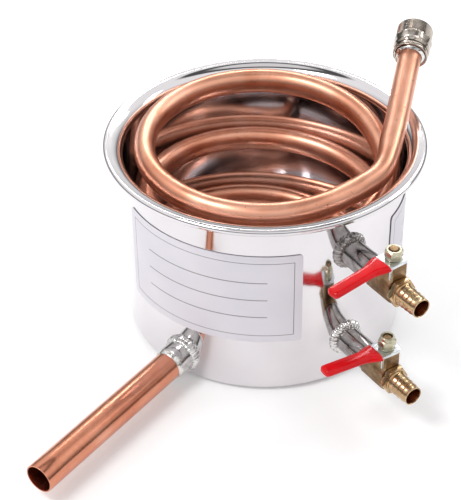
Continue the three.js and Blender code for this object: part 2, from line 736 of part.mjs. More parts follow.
function ballValve(valve) {
  const { name, height, stemDistance, handleTilt } = valve;
  const group = new THREE.Group();
  group.rotation.z = VALVE_AZIMUTH;
  group.position.set(
    stemDistance * Math.cos(VALVE_AZIMUTH), stemDistance * Math.sin(VALVE_AZIMUTH), height,
  );
  const turning = new THREE.Group();
  turning.rotation.z = valve.leverTurn;
  group.add(turning);
  const fix = (part, geometry, material) => group.add(mesh(`${name}_${part}`, geometry, material));
  const turn = (part, geometry, material) => turning.add(mesh(`${name}_${part}`, geometry, material));

  fix('nipple', nipple(), makeMaterial.polishedSteel());
  const weld = weldBead(NIPPLE_RADIUS + GAP, NIPPLE_WELD_RADIUS, NIPPLE_WELD_HEIGHT, stemDistance);
  fix('nipple_weld', weld, makeMaterial.weldedSteel());
  fix('valve_body', valveBody(), makeMaterial.brass());
  fix('barb_tail', barbTail(), makeMaterial.brass());
  const innerSeat = ringProfile(SEAT_INNER_RADIUS, SEAT_RADIUS, -SEAT_FAR, -SEAT_NEAR);
  const outerSeat = ringProfile(SEAT_INNER_RADIUS, SEAT_RADIUS, SEAT_NEAR, SEAT_FAR);
  fix('inner_seat', turnedAlongX(innerSeat, 20), makeMaterial.ptfe());
  fix('outer_seat', turnedAlongX(outerSeat, 20), makeMaterial.ptfe());
  const packing = ringProfile(STEM_RADIUS + GAP, PACKING_RADIUS, PACKING_FLOOR + GAP, BOSS_TOP - 0.6);
  fix('stem_packing', turnedUpright(packing, 20), makeMaterial.ptfe());

  const nutTop = NUT_BOTTOM + valve.nutHeight;
  const washerBottom = LEVER_TOP + GAP;
  turn('ball', ball(), makeMaterial.nickel());
  turn('stem', stem(nutTop + valve.studAboveNut), makeMaterial.brass());
  turn('lever', leverPlate(handleTilt), makeMaterial.zincPlate());
  turn('lever_grip', grip(handleTilt), makeMaterial.vinyl());
  const washerTop = washerBottom + WASHER_THICKNESS;
  const washer = ringProfile(STEM_RADIUS + GAP, WASHER_RADIUS, washerBottom, washerTop);
  turn('washer', turnedUpright(washer, 24), makeMaterial.yellowZinc());
  const nut = extruded(hexagon(NUT_ACROSS_FLATS, STEM_RADIUS + GAP), NUT_BOTTOM, nutTop, 8);
  turn('lever_nut', nut, makeMaterial.yellowZinc());
  return group;
}

// ---------------------------------------------------------------- assembly

const chiller = new THREE.Group();
chiller.add(potShell());
for (const sticker of LABELS) {
  chiller.add(label(sticker));
}
chiller.add(coilTube());
chiller.add(inletFitting());
chiller.add(outlet());
for (const valve of VALVES) {
  chiller.add(ballValve(valve));
}

export default chiller;
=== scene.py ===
"""Looks of the coil-in-pot chiller. The CAD frame gives the places, and every visible piece is remade
here with round surfaces, eased edges and procedural materials. Metres; lengths in millimetres are
written as a number times MM."""

import json
import math

import bmesh
import bpy
from mathutils import Matrix, Vector, noise


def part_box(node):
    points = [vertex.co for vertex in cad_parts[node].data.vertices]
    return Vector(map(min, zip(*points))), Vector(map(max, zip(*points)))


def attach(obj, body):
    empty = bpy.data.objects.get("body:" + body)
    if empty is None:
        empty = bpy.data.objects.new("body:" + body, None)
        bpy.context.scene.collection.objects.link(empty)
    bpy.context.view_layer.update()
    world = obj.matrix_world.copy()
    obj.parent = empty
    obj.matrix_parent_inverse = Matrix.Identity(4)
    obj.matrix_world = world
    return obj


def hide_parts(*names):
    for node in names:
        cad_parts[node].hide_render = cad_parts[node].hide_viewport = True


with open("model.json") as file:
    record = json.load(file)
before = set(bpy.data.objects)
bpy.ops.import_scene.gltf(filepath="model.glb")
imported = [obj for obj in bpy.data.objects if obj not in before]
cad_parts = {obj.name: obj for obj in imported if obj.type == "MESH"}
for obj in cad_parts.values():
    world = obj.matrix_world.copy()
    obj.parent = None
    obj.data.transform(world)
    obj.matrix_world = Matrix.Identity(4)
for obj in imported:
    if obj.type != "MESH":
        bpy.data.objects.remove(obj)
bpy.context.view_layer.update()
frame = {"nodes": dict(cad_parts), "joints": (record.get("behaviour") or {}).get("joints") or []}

MM = 0.001
UP = Vector((0, 0, 1))
VESSEL = "vessel"

# ---- sizes shared with the CAD part

# Pot and labels. LIP_BEAD_FROM is in degrees, and WALL_LOOPS are shares of the straight wall.
POT_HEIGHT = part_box("pot_shell")[1].z / MM
LIP_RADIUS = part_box("pot_shell")[1].x / MM
POT_RADIUS = 90.8
POT_WALL = 0.8
POT_CORNER = 6
LIP_BEAD = 2.2
LIP_BEAD_FROM = 158
LIP_FILLET = 8
LIP_DROP = 0.6
WALL_LOOPS = (0.35, 0.7)

LABEL_SWEEP = math.radians(80)
LABEL_STARTS = {"front_label": math.radians(-156.8), "side_label": math.radians(-31.8)}
LABEL_GAP = 0.3
LABEL_THICKNESS = 0.3
LABEL_CORNER = 2.0
LABEL_WIDTH = LABEL_SWEEP * (POT_RADIUS + LABEL_GAP + LABEL_THICKNESS)
LABEL_HEIGHT = (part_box("front_label")[1].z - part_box("front_label")[0].z) / MM

# Coil. Stations of the winding: angle, then the turn's centre, radius and height.
TUBE_RADIUS = 7.5
TUBE_BORE = 6.6
OVAL_ACROSS = 0.9
OVAL_UPRIGHT = 1.1
FULL_OVAL_BEND = 90
WINDING = [
    (-50, -2.3, 0.4, 74.1, 126.2),
    (-90, -2.3, 0.4, 74.1, 125.6),
    (-180, -2.3, 0.4, 74.1, 129.3),
    (-270, -2.3, 0.4, 74.1, 132.0),
    (-330, -1.5, 0.4, 75.0, 126.5),
    (-385, 0, 0.4, 79.0, 109.5),
    (-450, 0, 3, 79.0, 97.5),
    (-540, 0.7, 5.5, 76.6, 89.1),
    (-630, 0.7, 5.5, 76.6, 81.4),
    (-720, 0.7, 4, 77.5, 73.0),
    (-810, 0, 2, 79.5, 60.0),
    (-900, 0, 1.5, 80.5, 45.0),
    (-990, 0, 1.5, 80.5, 32.7),
    (-1035, 0, 1, 78.0, 27.0),
    (-1080, 0, 0, 71.0, 22.0),
    (-1110, 0, 0, 59.0, 19.2),
    (-1140, 0, 0, 47.5, 18.0),
    (-1165, 0, 0, 41.5, 18.0),
]
WINDING_STEP = 15
WINDING_ENTRY = [(79.6, -9, 137.3), (70.6, -35, 129.2)]
WINDING_EXIT = [(-13.5, -38.6), (-26.5, -38.8)]
TUBE_INLET_RUN = (37, 25, 10, -5, -20)
TUBE_OUTLET_RUN = (57, 65, 73, 82)

# Inlet fitting. Starts and ends are distances along its axis.
INLET_POINT = Vector((91.1, 36, 151))
INLET_HEADING = math.radians(76)
INLET_RISE = math.radians(16.5)
SOLDER_START = 23.2
SLEEVE_START = 24.5
SLEEVE_RADIUS = 11.1
SLEEVE_MOUTH_RADIUS = 11.7
ADAPTER_START = 28.6
ADAPTER_SHOULDER_END = 38
ADAPTER_SHOULDER_RADIUS = 12.5
ADAPTER_FLATS_RADIUS = 12.0
ADAPTER_FLAT_COUNT = 8
ADAPTER_END = 48.5
ADAPTER_TUBE_STOP = 37.6
ADAPTER_MOUTH_RADIUS = 9.4
INLET_THREAD_PITCH = 1.3
INLET_THREAD_ROOT = 11.2
INLET_THREAD_CREST = 11.9

# Outlet. Starts and ends are distances from the pot's axis.
OUTLET_TUBE_RADIUS = 9.4
OUTLET_TUBE_BORE = 8.5
OUTLET_START = 66
OUTLET_END = 228
OUTLET_LOOPS = 12
COLLAR_RADIUS = 10.8
COLLAR_START = 87
COLLAR_END = 104

# Welds: width and height of the bead, ripples round it, and how deep the ripples cut.
OUTLET_WELD = {"width": 2.2, "height": 4.6, "ripples": 28, "relief": 0.15}
NIPPLE_WELD = {"width": 3.5, "height": 3.3, "ripples": 22, "relief": 0.17}
WELD_OVERLAP = 0.1
WELD_ROOT = -0.3

# Ball valves. Along the flow, and up the stem, from where the two axes cross.
NIPPLE_RADIUS = 8.7
NIPPLE_BORE = 5
NIPPLE_THREAD_BORE = 6.7
NIPPLE_START = -45
NIPPLE_THREAD_START = -26
NIPPLE_END = -14.4
BODY_START = -13.8
BODY_END = 6.4
BODY_HALF = 7.6
BODY_CHAMFER = 2.4
BODY_THREAD_START = -25
BODY_THREAD_RADIUS = 6.4
BOSS_HALF = 6.4
BOSS_CHAMFER = 1.6
FLOW_BORE = 3.5
BALL_CHAMBER = 6.1
BALL_CHAMBER_START = -6.4
STEM_BORE = 3.3
PACKING_BORE = 5
PACKING_START = 8
BARB_START = 11.8
BARB_PITCH = 3.6
BARB_COUNT = 4
BARB_CREST = 7
BARB_TAPER = 0.15
BARB_END = 27.3
BARB_BORE = 5.3
FLANGE_START = 6.7
FLANGE_END = 10.8
FLANGE_ACROSS_FLATS = 16.5

LEVER_BOTTOM = 18.0
LEVER_THICKNESS = 1.8
LEVER_TOP = LEVER_BOTTOM + LEVER_THICKNESS
LEVER_MIDDLE = LEVER_BOTTOM + LEVER_THICKNESS / 2
LEVER_TURN = {"upper": math.radians(3.5), "lower": math.radians(-1.5)}
PLATE_HALF = 6.9
PLATE_FRONT = 7.2
HANDLE_BEND = -8.4
HANDLE_HALF = 3
HANDLE_END = -42
HANDLE_TILT = {"upper": math.radians(-5.5), "lower": math.radians(4.5)}
GRIP_ROOT = 8.4
GRIP_NECK = 21.0
GRIP_TIP = 47.2
GRIP_ROOT_HALF = 7.8
GRIP_HALF = 4.9
GRIP_HALF_HEIGHT = 2.55
GRIP_ROUNDING = 3.4

STEM_RADIUS = 3.0
STEM_FOOT = 4.4
STEM_THREAD_PITCH = 0.7
STEM_HOLE = 3.2
WASHER_RADIUS = 5
NUT_BOTTOM = 21.2
NUT_ACROSS_FLATS = 9.7
NUT_COLLAR_HEIGHT = 2.4
NUT_COLLAR_RADIUS = 4.4
TALL_NUT = 6


# ---- frames of the sub-assemblies

def axis_frame(origin, direction):
    """X runs along direction, Z is as upright as it can be. Input in millimetres."""
    x = direction.normalized()
    y = UP.cross(x).normalized()
    z = x.cross(y)
    turn = Matrix((x, y, z)).transposed().to_4x4()
    return Matrix.Translation(origin * MM) @ turn


def middle(node):
    low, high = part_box(node)
    return (low + high) / 2


def valve_joint(valve):
    return next(j for j in frame["joints"] if j["child"] == f"{valve}_lever_set")


def valve_frame(valve):
    """X outwards along the flow, Z up, origin where the stem crosses the flow axis."""
    stem_x, stem_y, _ = valve_joint(valve)["pos_m"]
    height = middle(f"{valve}_outer_seat").z
    return axis_frame(Vector((stem_x, stem_y, height)) / MM, Vector((stem_x, stem_y, 0)))


def lever_frame(valve):
    return valve_frame(valve) @ Matrix.Rotation(LEVER_TURN[valve], 4, "Z")


def outlet_frame():
    centre = middle("outlet_tube")
    return axis_frame(Vector((0, 0, centre.z / MM)), Vector((centre.x, centre.y, 0)))


def inlet_frame():
    level = math.cos(INLET_RISE)
    heading = Vector((level * math.cos(INLET_HEADING), level * math.sin(INLET_HEADING), math.sin(INLET_RISE)))
    return axis_frame(INLET_POINT, heading)


# ---- mesh helpers (millimetres in, metres out)

def linked(name, data):
    """A new object in the scene."""
    thing = bpy.data.objects.new(name, data)
    bpy.context.scene.collection.objects.link(thing)
    return thing


def finish_mesh(name, mesh, material, body, replaced, sharp):
    """Shades the mesh, gives it a material and hangs it on its body in place of a CAD node."""
    for polygon in mesh.polygons:
        polygon.use_smooth = True
    mesh.set_sharp_from_angle(angle=math.radians(sharp))
    mesh.materials.clear()
    mesh.materials.append(material)
    piece = linked(name, mesh)
    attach(piece, body)
    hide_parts(replaced)


def mesh_from(vertices, faces, corners_uv, matrix=Matrix.Identity(4)):
    mesh = bpy.data.meshes.new("mesh")
    mesh.from_pydata([v * MM for v in vertices], [], faces)
    layer = mesh.uv_layers.new(name="UVMap")
    flat = [component for corner in corners_uv for component in corner]
    layer.data.foreach_set("uv", flat)
    mesh.transform(matrix)
    mesh.update()
    return mesh


def lathe(profile, segments, matrix=Matrix.Identity(4), along="Z", wobble=None):
    """Turns [radius, height] points about an axis. The profile ends on the axis or closes on itself."""
    closed = profile[0] == profile[-1]
    points = profile[:-1] if closed else profile
    lengths = [0.0]
    for (r0, h0), (r1, h1) in zip(points, points[1:] + points[:1]):
        lengths.append(lengths[-1] + math.hypot(r1 - r0, h1 - h0))
    widest = max(r for r, _ in points)
    vertices = []
    rings = []
    for r, h in points:
        count = 1 if r < 1e-6 else segments
        rings.append((len(vertices), count))
        for i in range(count):
            angle = 2 * math.pi * i / segments
            radius = r + (wobble(angle, r, h) if wobble and count > 1 else 0)
            a, b = radius * math.cos(angle), radius * math.sin(angle)
            vertices.append(Vector((h, a, b)) if along == "X" else Vector((a, b, h)))
    faces, uvs = [], []
    steps = len(points) if closed else len(points) - 1
    for k in range(steps):
        (s0, n0), (s1, n1) = rings[k], rings[(k + 1) % len(points)]
        v0, v1 = lengths[k] * MM, lengths[k + 1] * MM
        for i in range(segments):
            j = (i + 1) % segments
            u0, u1 = (2 * math.pi * widest * MM * t / segments for t in (i, i + 1))
            face = [s0 + i % n0, s0 + j % n0, s1 + j % n1, s1 + i % n1]
            uv = [(u0, v0), (u1, v0), (u1, v1), (u0, v1)]
            keep = [n for n in range(4) if face[n] not in face[:n]]
            if len(keep) > 2:
                faces.append([face[n] for n in keep])
                uvs += [uv[n] for n in keep]
    return outward(mesh_from(vertices, faces, uvs, matrix))


def outward(mesh):
    work = bmesh.new()
    work.from_mesh(mesh)
    bmesh.ops.recalc_face_normals(work, faces=work.faces)
    work.to_mesh(mesh)
    work.free()
    return mesh


def loft(rings, loop=False, matrix=Matrix.Identity(4)):
    """Skins rings of equal count. A loop joins the last ring to the first, else the ends are capped."""
    count = len(rings[0])
    vertices = [v for ring in rings for v in ring]
    around = [0.0]
    for a, b in zip(rings[0], rings[0][1:] + rings[0][:1]):
        around.append(around[-1] + (b - a).length * MM)
    along = [0.0]
    for a, b in zip(rings, rings[1:] + rings[:1]):
        step = sum((q - p).length for p, q in zip(a, b)) / count
        along.append(along[-1] + step * MM)
    faces, uvs = [], []
    for k in range(len(rings) if loop else len(rings) - 1):
        n = (k + 1) % len(rings)
        for i in range(count):
            j = (i + 1) % count
            faces.append([k * count + i, k * count + j, n * count + j, n * count + i])
            uvs += [
                (around[i], along[k]), (around[i + 1], along[k]),
                (around[i + 1], along[k + 1]), (around[i], along[k + 1]),
            ]
    if not loop:
        for ring, start in ((rings[0], 0), (rings[-1], (len(rings) - 1) * count)):
            faces.append(list(range(start, start + count)))
            uvs += [(v.x * MM, v.y * MM) for v in ring]
    return outward(mesh_from(vertices, faces, uvs, matrix))


def prism(outline, low, high, along="Z"):
    """A straight prism over a convex or simple outline of (x, y) points."""
    def place(x, y, h):
        return Vector((h, x, y)) if along == "X" else Vector((x, y, h))
    return loft([[place(x, y, low) for x, y in outline], [place(x, y, high) for x, y in outline]])


def regular(radius, sides):
    angles = [2 * math.pi * i / sides for i in range(sides)]
    return [(radius * math.cos(a), radius * math.sin(a)) for a in angles]


def arc(cx, cy, radius, start, end, steps):
    angles = [math.radians(start + (end - start) * i / steps) for i in range(steps + 1)]
    return [(cx + radius * math.cos(a), cy + radius * math.sin(a)) for a in angles]


def eased(points, radius, steps=3, closed=True):
    """Rounds the corners of an outline or profile."""
    source = points[:-1] if closed and points[0] == points[-1] else points
    count = len(source)
    result = []
    for i, corner in enumerate(source):
        if not closed and i in (0, count - 1):
            result.append(tuple(corner))
            continue
        here = Vector(corner)
        back = Vector(source[i - 1]) - here
        ahead = Vector(source[(i + 1) % count]) - here
        reach = min(radius, back.length * 0.45, ahead.length * 0.45)
        start = here + back.normalized() * reach
        end = here + ahead.normalized() * reach
        for k in range(steps + 1):
            t = k / steps
            result.append(tuple(start * (1 - t) ** 2 + here * 2 * t * (1 - t) + end * t ** 2))
    if closed and points[0] == points[-1]:
        result.append(result[0])
    return result


def combine(base, others, operation):
    """Joins or cuts meshes with an exact boolean."""
    target = linked("target", base)
    tools = []
    for mesh in others:
        tool = linked("tool", mesh)
        tools.append(tool)
        modifier = target.modifiers.new("boolean", "BOOLEAN")
        modifier.operation = operation
        modifier.solver = "EXACT"
        modifier.object = tool
    return applied(target, tools)


def applied(target, tools=()):
    """The target's mesh with its modifiers applied. Its objects are removed."""
    bpy.context.view_layer.update()
    graph = bpy.context.evaluated_depsgraph_get()
    mesh = bpy.data.meshes.new_from_object(target.evaluated_get(graph))
    for leftover in (target, *tools):
        bpy.data.objects.remove(leftover)
    return mesh


def bevelled(mesh, width, segments=3):
    sharper_than = math.radians(32)
    target = linked("target", mesh)
    modifier = target.modifiers.new("bevel", "BEVEL")
    modifier.width = width * MM
    modifier.segments = segments
    modifier.limit_method = "ANGLE"
    modifier.angle_limit = sharper_than
    return applied(target)


def placed(mesh, matrix):
    mesh.transform(matrix)
    mesh.update()
    return mesh


def mark_for_painted_bore_shade(mesh, matrix, radius):
    """Marks the vertices within radius of the matrix's X axis, for the painted shade inside a pipe."""
    # The bore attribute marks where painted shade goes inside a pipe.
    layer = mesh.attributes.new("bore", "FLOAT", "POINT")
    inverse = matrix.inverted()
    for vertex, item in zip(mesh.vertices, layer.data):
        local = inverse @ vertex.co
        item.value = 1.0 if math.hypot(local.y, local.z) < radius * MM else 0.0
    return mesh


# ---- material helpers

class Tree:
    """A node tree with short ways to add nodes."""

    def __init__(self, owner):
        owner.use_nodes = True
        self.nodes = owner.node_tree.nodes
        self.links = owner.node_tree.links

    def feed(self, socket, value):
        """Links a socket to another socket, or sets it to a number, a vector or a colour."""
        if isinstance(value, bpy.types.NodeSocket):
            self.links.new(value, socket)
        else:
            socket.default_value = (*value, 1) if socket.type == "RGBA" else value

    def add(self, kind, output, inputs, **settings):
        """A new node, fed by the names or numbers of its inputs. Gives back one of its outputs."""
        node = self.nodes.new(f"ShaderNode{kind}")
        for key, value in settings.items():
            setattr(node, key, value)
        for key, value in inputs.items():
            self.feed(node.inputs[key], value)
        return node.outputs[output]

    def ramp(self, value, stops):
        node = self.nodes.new("ShaderNodeValToRGB")
        elements = node.color_ramp.elements
        while len(elements) < len(stops):
            elements.new(0.5)
        for element, (position, colour) in zip(elements, stops):
            element.position = position
            element.color = (*colour, 1)
        self.links.new(value, node.inputs["Fac"])
        return node.outputs["Color"]


class Material(Tree):
    """A principled material with short ways to add noise, mixes and relief."""

    def __init__(self, name, metallic, roughness):
        self.material = bpy.data.materials.new(name)
        super().__init__(self.material)
        self.relief = None
        self.surface("Metallic", metallic)
        self.surface("Roughness", roughness)

    def surface(self, name, value):
        """Feeds one input of the shader."""
        self.feed(self.nodes["Principled BSDF"].inputs[name], value)

    def colour(self, value):
        self.surface("Base Color", value)

    def roughness(self, value):
        self.surface("Roughness", value)

    def coordinates(self, kind, scale=(1, 1, 1)):
        where = self.add("TexCoord", kind, {})
        return self.add("Mapping", "Vector", {"Vector": where, "Scale": scale})

    def noise(self, vector, scale, detail=4.0, roughness=0.55, distortion=0.0):
        return self.add("TexNoise", "Fac", {
            "Vector": vector, "Scale": scale, "Detail": detail, "Roughness": roughness,
            "Distortion": distortion,
        })

    def cells(self, vector, scale):
        return self.add("TexVoronoi", "Distance", {"Vector": vector, "Scale": scale})

    def span(self, value, from_low, from_high, to_low, to_high):
        return self.add("MapRange", "Result", {
            "Value": value, "From Min": from_low, "From Max": from_high, "To Min": to_low, "To Max": to_high,
        })

    def mix(self, factor, first, second):
        """Mixes two colours. Sockets 6 and 7, and output 2, are the colour ones of the Mix node."""
        return self.add("Mix", 2, {0: factor, 6: first, 7: second}, data_type="RGBA")

    def maths(self, operation, first, second=0.0):
        return self.add("Math", 0, {0: first, 1: second}, operation=operation)

    def painted_bore_shade(self, outside, inside):
        """Paints shade into the bore, where the mesh's bore attribute is 1."""
        return self.mix(self.add("Attribute", "Fac", {}, attribute_name="bore"), outside, inside)

    def bump(self, height, distance):
        """Adds a layer of relief. distance is in metres."""
        below = {"Normal": self.relief} if self.relief else {}
        self.relief = self.add("Bump", "Normal", {"Distance": distance, "Height": height, **below})
        self.surface("Normal", self.relief)


def mirror_steel():
    """Polished sheet: faint polishing lines round the pot, a little waviness, smears."""
    m = Material("mirror_steel", 1.0, 0.06)
    wide = m.coordinates("Object")
    smear = m.noise(wide, 18, 3)
    m.colour(m.ramp(smear, [(0.3, (0.71, 0.685, 0.705)), (0.7, (0.77, 0.745, 0.76))]))
    lines = m.noise(m.coordinates("UV", (14, 2600, 1)), 1.0, 2)
    rough = m.maths("ADD", m.span(smear, 0.35, 0.7, 0.035, 0.09), m.span(lines, 0.4, 0.8, 0.0, 0.05))
    m.roughness(rough)
    m.bump(m.noise(m.coordinates("UV", (26, 5, 1)), 1.0, 1), 0.00007)
    m.bump(lines, 0.0000012)
    return m.material


def turned_steel(name, low, high, rough):
    m = Material(name, 1.0, rough)
    grain = m.noise(m.coordinates("UV", (30, 4200, 1)), 1.0, 3)
    stain = m.noise(m.coordinates("Object"), 160, 4)
    m.colour(m.mix(m.span(stain, 0.3, 0.75, 0.0, 1.0), low, high))
    stained = m.span(stain, 0.3, 0.7, rough * 0.7, rough * 1.3)
    m.roughness(m.maths("ADD", stained, m.span(grain, 0.4, 0.8, 0, 0.08)))
    m.bump(grain, 0.000008)
    return m.material


def weld_metal(name, light, dark, rough):
    """Rippled weld or solder with blotches of heat tint."""
    m = Material(name, 1.0, rough)
    where = m.coordinates("Object")
    blotch = m.noise(where, 260, 5, 0.65)
    bright = tuple(min(channel * 1.2, 1) for channel in light)
    m.colour(m.ramp(blotch, [(0.32, dark), (0.5, light), (0.75, bright)]))
    m.roughness(m.span(blotch, 0.3, 0.7, rough * 1.5, rough * 0.6))
    m.bump(m.noise(where, 700, 2), 0.00006)
    return m.material


def copper(name, pale, middling, deep, polish):
    """Drawn copper tube: streaks along it, pink to brown tarnish, specks and small dings, and painted shade
    in its bore.
    """
    m = Material(name, 1.0, polish)
    where = m.coordinates("Object")
    along = m.coordinates("UV", (520, 16, 1))
    streak = m.noise(along, 1.0, 5, 0.6)
    cloud = m.noise(where, 34, 5, 0.6, 0.4)
    base = m.ramp(cloud, [(0.28, deep), (0.5, middling), (0.74, pale)])
    streaked = m.mix(m.span(streak, 0.45, 0.75, 0.0, 0.55), base, (0.56, 0.20, 0.11))
    speck = m.span(m.noise(where, 520, 2), 0.69, 0.76, 0.0, 0.85)
    smudge = m.span(m.noise(where, 95, 6, 0.7), 0.62, 0.74, 0.0, 0.5)
    marked = m.mix(smudge, streaked, (0.40, 0.17, 0.11))
    # Inside the bore the colour is painted shade, darker than the tube outside.
    m.colour(m.painted_bore_shade(m.mix(speck, marked, (0.13, 0.06, 0.045)), (0.62, 0.26, 0.16)))
    clouded = m.span(cloud, 0.3, 0.7, polish * 0.85, polish * 1.2)
    rough = m.maths("ADD", clouded, m.span(streak, 0.4, 0.8, 0.0, 0.08))
    m.roughness(m.maths("ADD", rough, m.maths("MULTIPLY", speck, 0.25)))
    m.bump(m.noise(where, 26, 2), 0.0004)
    m.bump(streak, 0.00003)
    m.bump(m.noise(where, 480, 3), 0.00004)
    return m.material


def brass(name, dark, middling, light, machined):
    m = Material(name, 1.0, 0.3)
    where = m.coordinates("Object")
    cloud = m.noise(where, 150, 5, 0.6)
    base = m.ramp(cloud, [(0.3, dark), (0.55, middling), (0.8, light)])
    grime = m.span(m.noise(where, 420, 4, 0.7), 0.56, 0.72, 0.0, 0.55)
    # Inside the bore the colour is painted shade, darker than the brass outside.
    m.colour(m.painted_bore_shade(m.mix(grime, base, (0.16, 0.08, 0.035)), (0.22, 0.09, 0.045)))
    if machined:
        lines = m.noise(m.coordinates("UV", (40, 5200, 1)), 1.0, 2)
        m.roughness(m.span(lines, 0.3, 0.7, 0.16, 0.30))
        m.bump(lines, 0.000012)
    else:
        m.roughness(m.span(cloud, 0.3, 0.7, 0.38, 0.26))
        m.bump(m.noise(where, 700, 4), 0.00006)
    return m.material


def zinc_plate(name, low, high):
    m = Material(name, 1.0, 0.3)
    where = m.coordinates("Object")
    spangle = m.cells(where, 520)
    cloud = m.noise(where, 210, 4)
    m.colour(m.mix(m.span(cloud, 0.3, 0.7, 0.0, 1.0), low, high))
    m.roughness(m.span(spangle, 0.0, 0.7, 0.22, 0.38))
    m.bump(m.noise(where, 620, 3), 0.00003)
    return m.material


def red_vinyl():
    """Dipped vinyl: glossy, with slow ripples and a few dull rubs."""
    m = Material("red_vinyl", 0.0, 0.16)
    m.surface("Specular IOR Level", 0.2)
    m.surface("Coat Weight", 0.2)
    m.surface("Coat Roughness", 0.05)
    where = m.coordinates("Object")
    cloud = m.noise(where, 70, 3)
    m.colour(m.ramp(cloud, [(0.3, (0.56, 0.001, 0.005)), (0.7, (0.74, 0.003, 0.008))]))
    m.roughness(m.span(m.noise(where, 240, 5), 0.4, 0.75, 0.10, 0.22))
    m.bump(m.noise(where, 110, 2), 0.00025)
    return m.material


def ptfe():
    m = Material("ptfe", 0.0, 0.45)
    cloud = m.noise(m.coordinates("Object"), 300, 3)
    m.colour(m.ramp(cloud, [(0.3, (0.82, 0.82, 0.79)), (0.7, (0.9, 0.9, 0.88))]))
    m.bump(cloud, 0.00002)
    return m.material


def label_paper(width, height):
    """A blank write-on label: thin frame and three ruled lines on coated paper."""
    m = Material("label_paper", 0.0, 0.42)
    flat = m.coordinates("UV")
    across, up = (m.add("SeparateXYZ", axis, {"Vector": flat}) for axis in ("X", "Y"))

    def inside(value, centre, half):
        distance = m.maths("ABSOLUTE", m.maths("SUBTRACT", value, centre))
        return m.maths("LESS_THAN", distance, half)

    def box(half_width, half_height):
        return m.maths("MULTIPLY", inside(across, width / 2, half_width), inside(up, height / 2, half_height))

    frame_inset, line = 5 * MM, 0.45 * MM
    outer = box(width / 2 - frame_inset, height / 2 - frame_inset)
    inner = box(width / 2 - frame_inset - line, height / 2 - frame_inset - line)
    ink = m.maths("SUBTRACT", outer, inner)
    for row in (-1, 0, 1):
        rule = m.maths(
            "MULTIPLY",
            inside(across, width / 2, width * 0.33),
            inside(up, height / 2 + row * height * 0.2, line * 0.7),
        )
        ink = m.maths("MAXIMUM", ink, rule)
    fibre = m.noise(m.coordinates("Object"), 900, 4)
    tone = m.noise(m.coordinates("Object"), 30, 2)
    paper = m.ramp(tone, [(0.3, (0.70, 0.675, 0.735)), (0.7, (0.75, 0.725, 0.775))])
    m.colour(m.mix(m.maths("MULTIPLY", ink, 0.8), paper, (0.07, 0.07, 0.08)))
    m.roughness(m.span(fibre, 0.3, 0.7, 0.34, 0.46))
    m.bump(fibre, 0.000015)
    return m.material


MIRROR = mirror_steel()
# The pipe steel's dark tones are partly its own colour and partly painted reflection of dark surroundings.
PIPE_STEEL = turned_steel("pipe_steel", (0.24, 0.215, 0.205), (0.50, 0.475, 0.465), 0.12)
COLLAR_STEEL = turned_steel("collar_steel", (0.44, 0.42, 0.41), (0.80, 0.78, 0.77), 0.1)
NICKEL = turned_steel("nickel", (0.38, 0.32, 0.27), (0.68, 0.62, 0.56), 0.13)
# This darker copy, used for the upper weld, is partly heat tint and partly painted reflection of dark
# surroundings.
WELD = weld_metal("weld", (0.36, 0.34, 0.33), (0.07, 0.06, 0.055), 0.24)
BRIGHT_WELD = weld_metal("bright_weld", (0.74, 0.73, 0.72), (0.30, 0.27, 0.25), 0.16)
SOLDER = weld_metal("solder", (0.74, 0.72, 0.70), (0.36, 0.31, 0.28), 0.2)
COPPER = copper("copper", (0.90, 0.51, 0.385), (0.84, 0.425, 0.29), (0.72, 0.30, 0.185), 0.33)
# The outlet tube's deeper copper is partly its own colour and partly painted shade: the whole tube is
# darkened to stand for the shade along its underside.
OUTLET_COPPER = copper("outlet_copper", (0.78, 0.38, 0.26), (0.68, 0.275, 0.17), (0.55, 0.19, 0.11), 0.20)
BRASS_CAST = brass("brass_forged", (0.13, 0.075, 0.035), (0.25, 0.16, 0.085), (0.50, 0.36, 0.21), False)
BRASS_TURNED = brass("brass_turned", (0.38, 0.235, 0.12), (0.56, 0.395, 0.225), (0.76, 0.61, 0.42), True)
ZINC = zinc_plate("zinc", (0.62, 0.66, 0.69), (0.76, 0.79, 0.81))
YELLOW_ZINC = zinc_plate("yellow_zinc", (0.36, 0.33, 0.22), (0.66, 0.62, 0.48))
VINYL = red_vinyl()
PTFE = ptfe()
PAPER = label_paper(LABEL_WIDTH * MM, LABEL_HEIGHT * MM)


# ---- pot and labels

def pot_profile():
    """From the middle of the bottom up the outside, over the rolled lip and down the inside."""
    corner = POT_RADIUS - POT_CORNER
    inside = POT_RADIUS - POT_WALL
    lip_top = POT_HEIGHT - LIP_DROP
    fillet_x = POT_RADIUS + LIP_FILLET
    fillet_z = lip_top - POT_WALL - LIP_FILLET
    bead_x = LIP_RADIUS - LIP_BEAD
    bead_z = POT_HEIGHT - LIP_BEAD
    loops = [fillet_z * share for share in WALL_LOOPS]
    return [
        (0, 0), (corner / 2, 0),
        *arc(corner, POT_CORNER, POT_CORNER, -90, 0, 10),
        *[(POT_RADIUS, z) for z in loops],
        *arc(fillet_x, fillet_z, LIP_FILLET, 180, 90, 10),
        *arc(bead_x, bead_z, LIP_BEAD, LIP_BEAD_FROM, 450, 24),
        *arc(fillet_x, fillet_z, LIP_FILLET + POT_WALL, 90, 180, 12),
        *[(inside, z) for z in reversed(loops)],
        *arc(corner, POT_CORNER, POT_CORNER - POT_WALL, 0, -90, 10),
        (corner / 2, POT_WALL), (0, POT_WALL),
    ]


def pot():
    mesh = lathe(pot_profile(), 240)
    finish_mesh("pot", mesh, MIRROR, VESSEL, "pot_shell", 60)


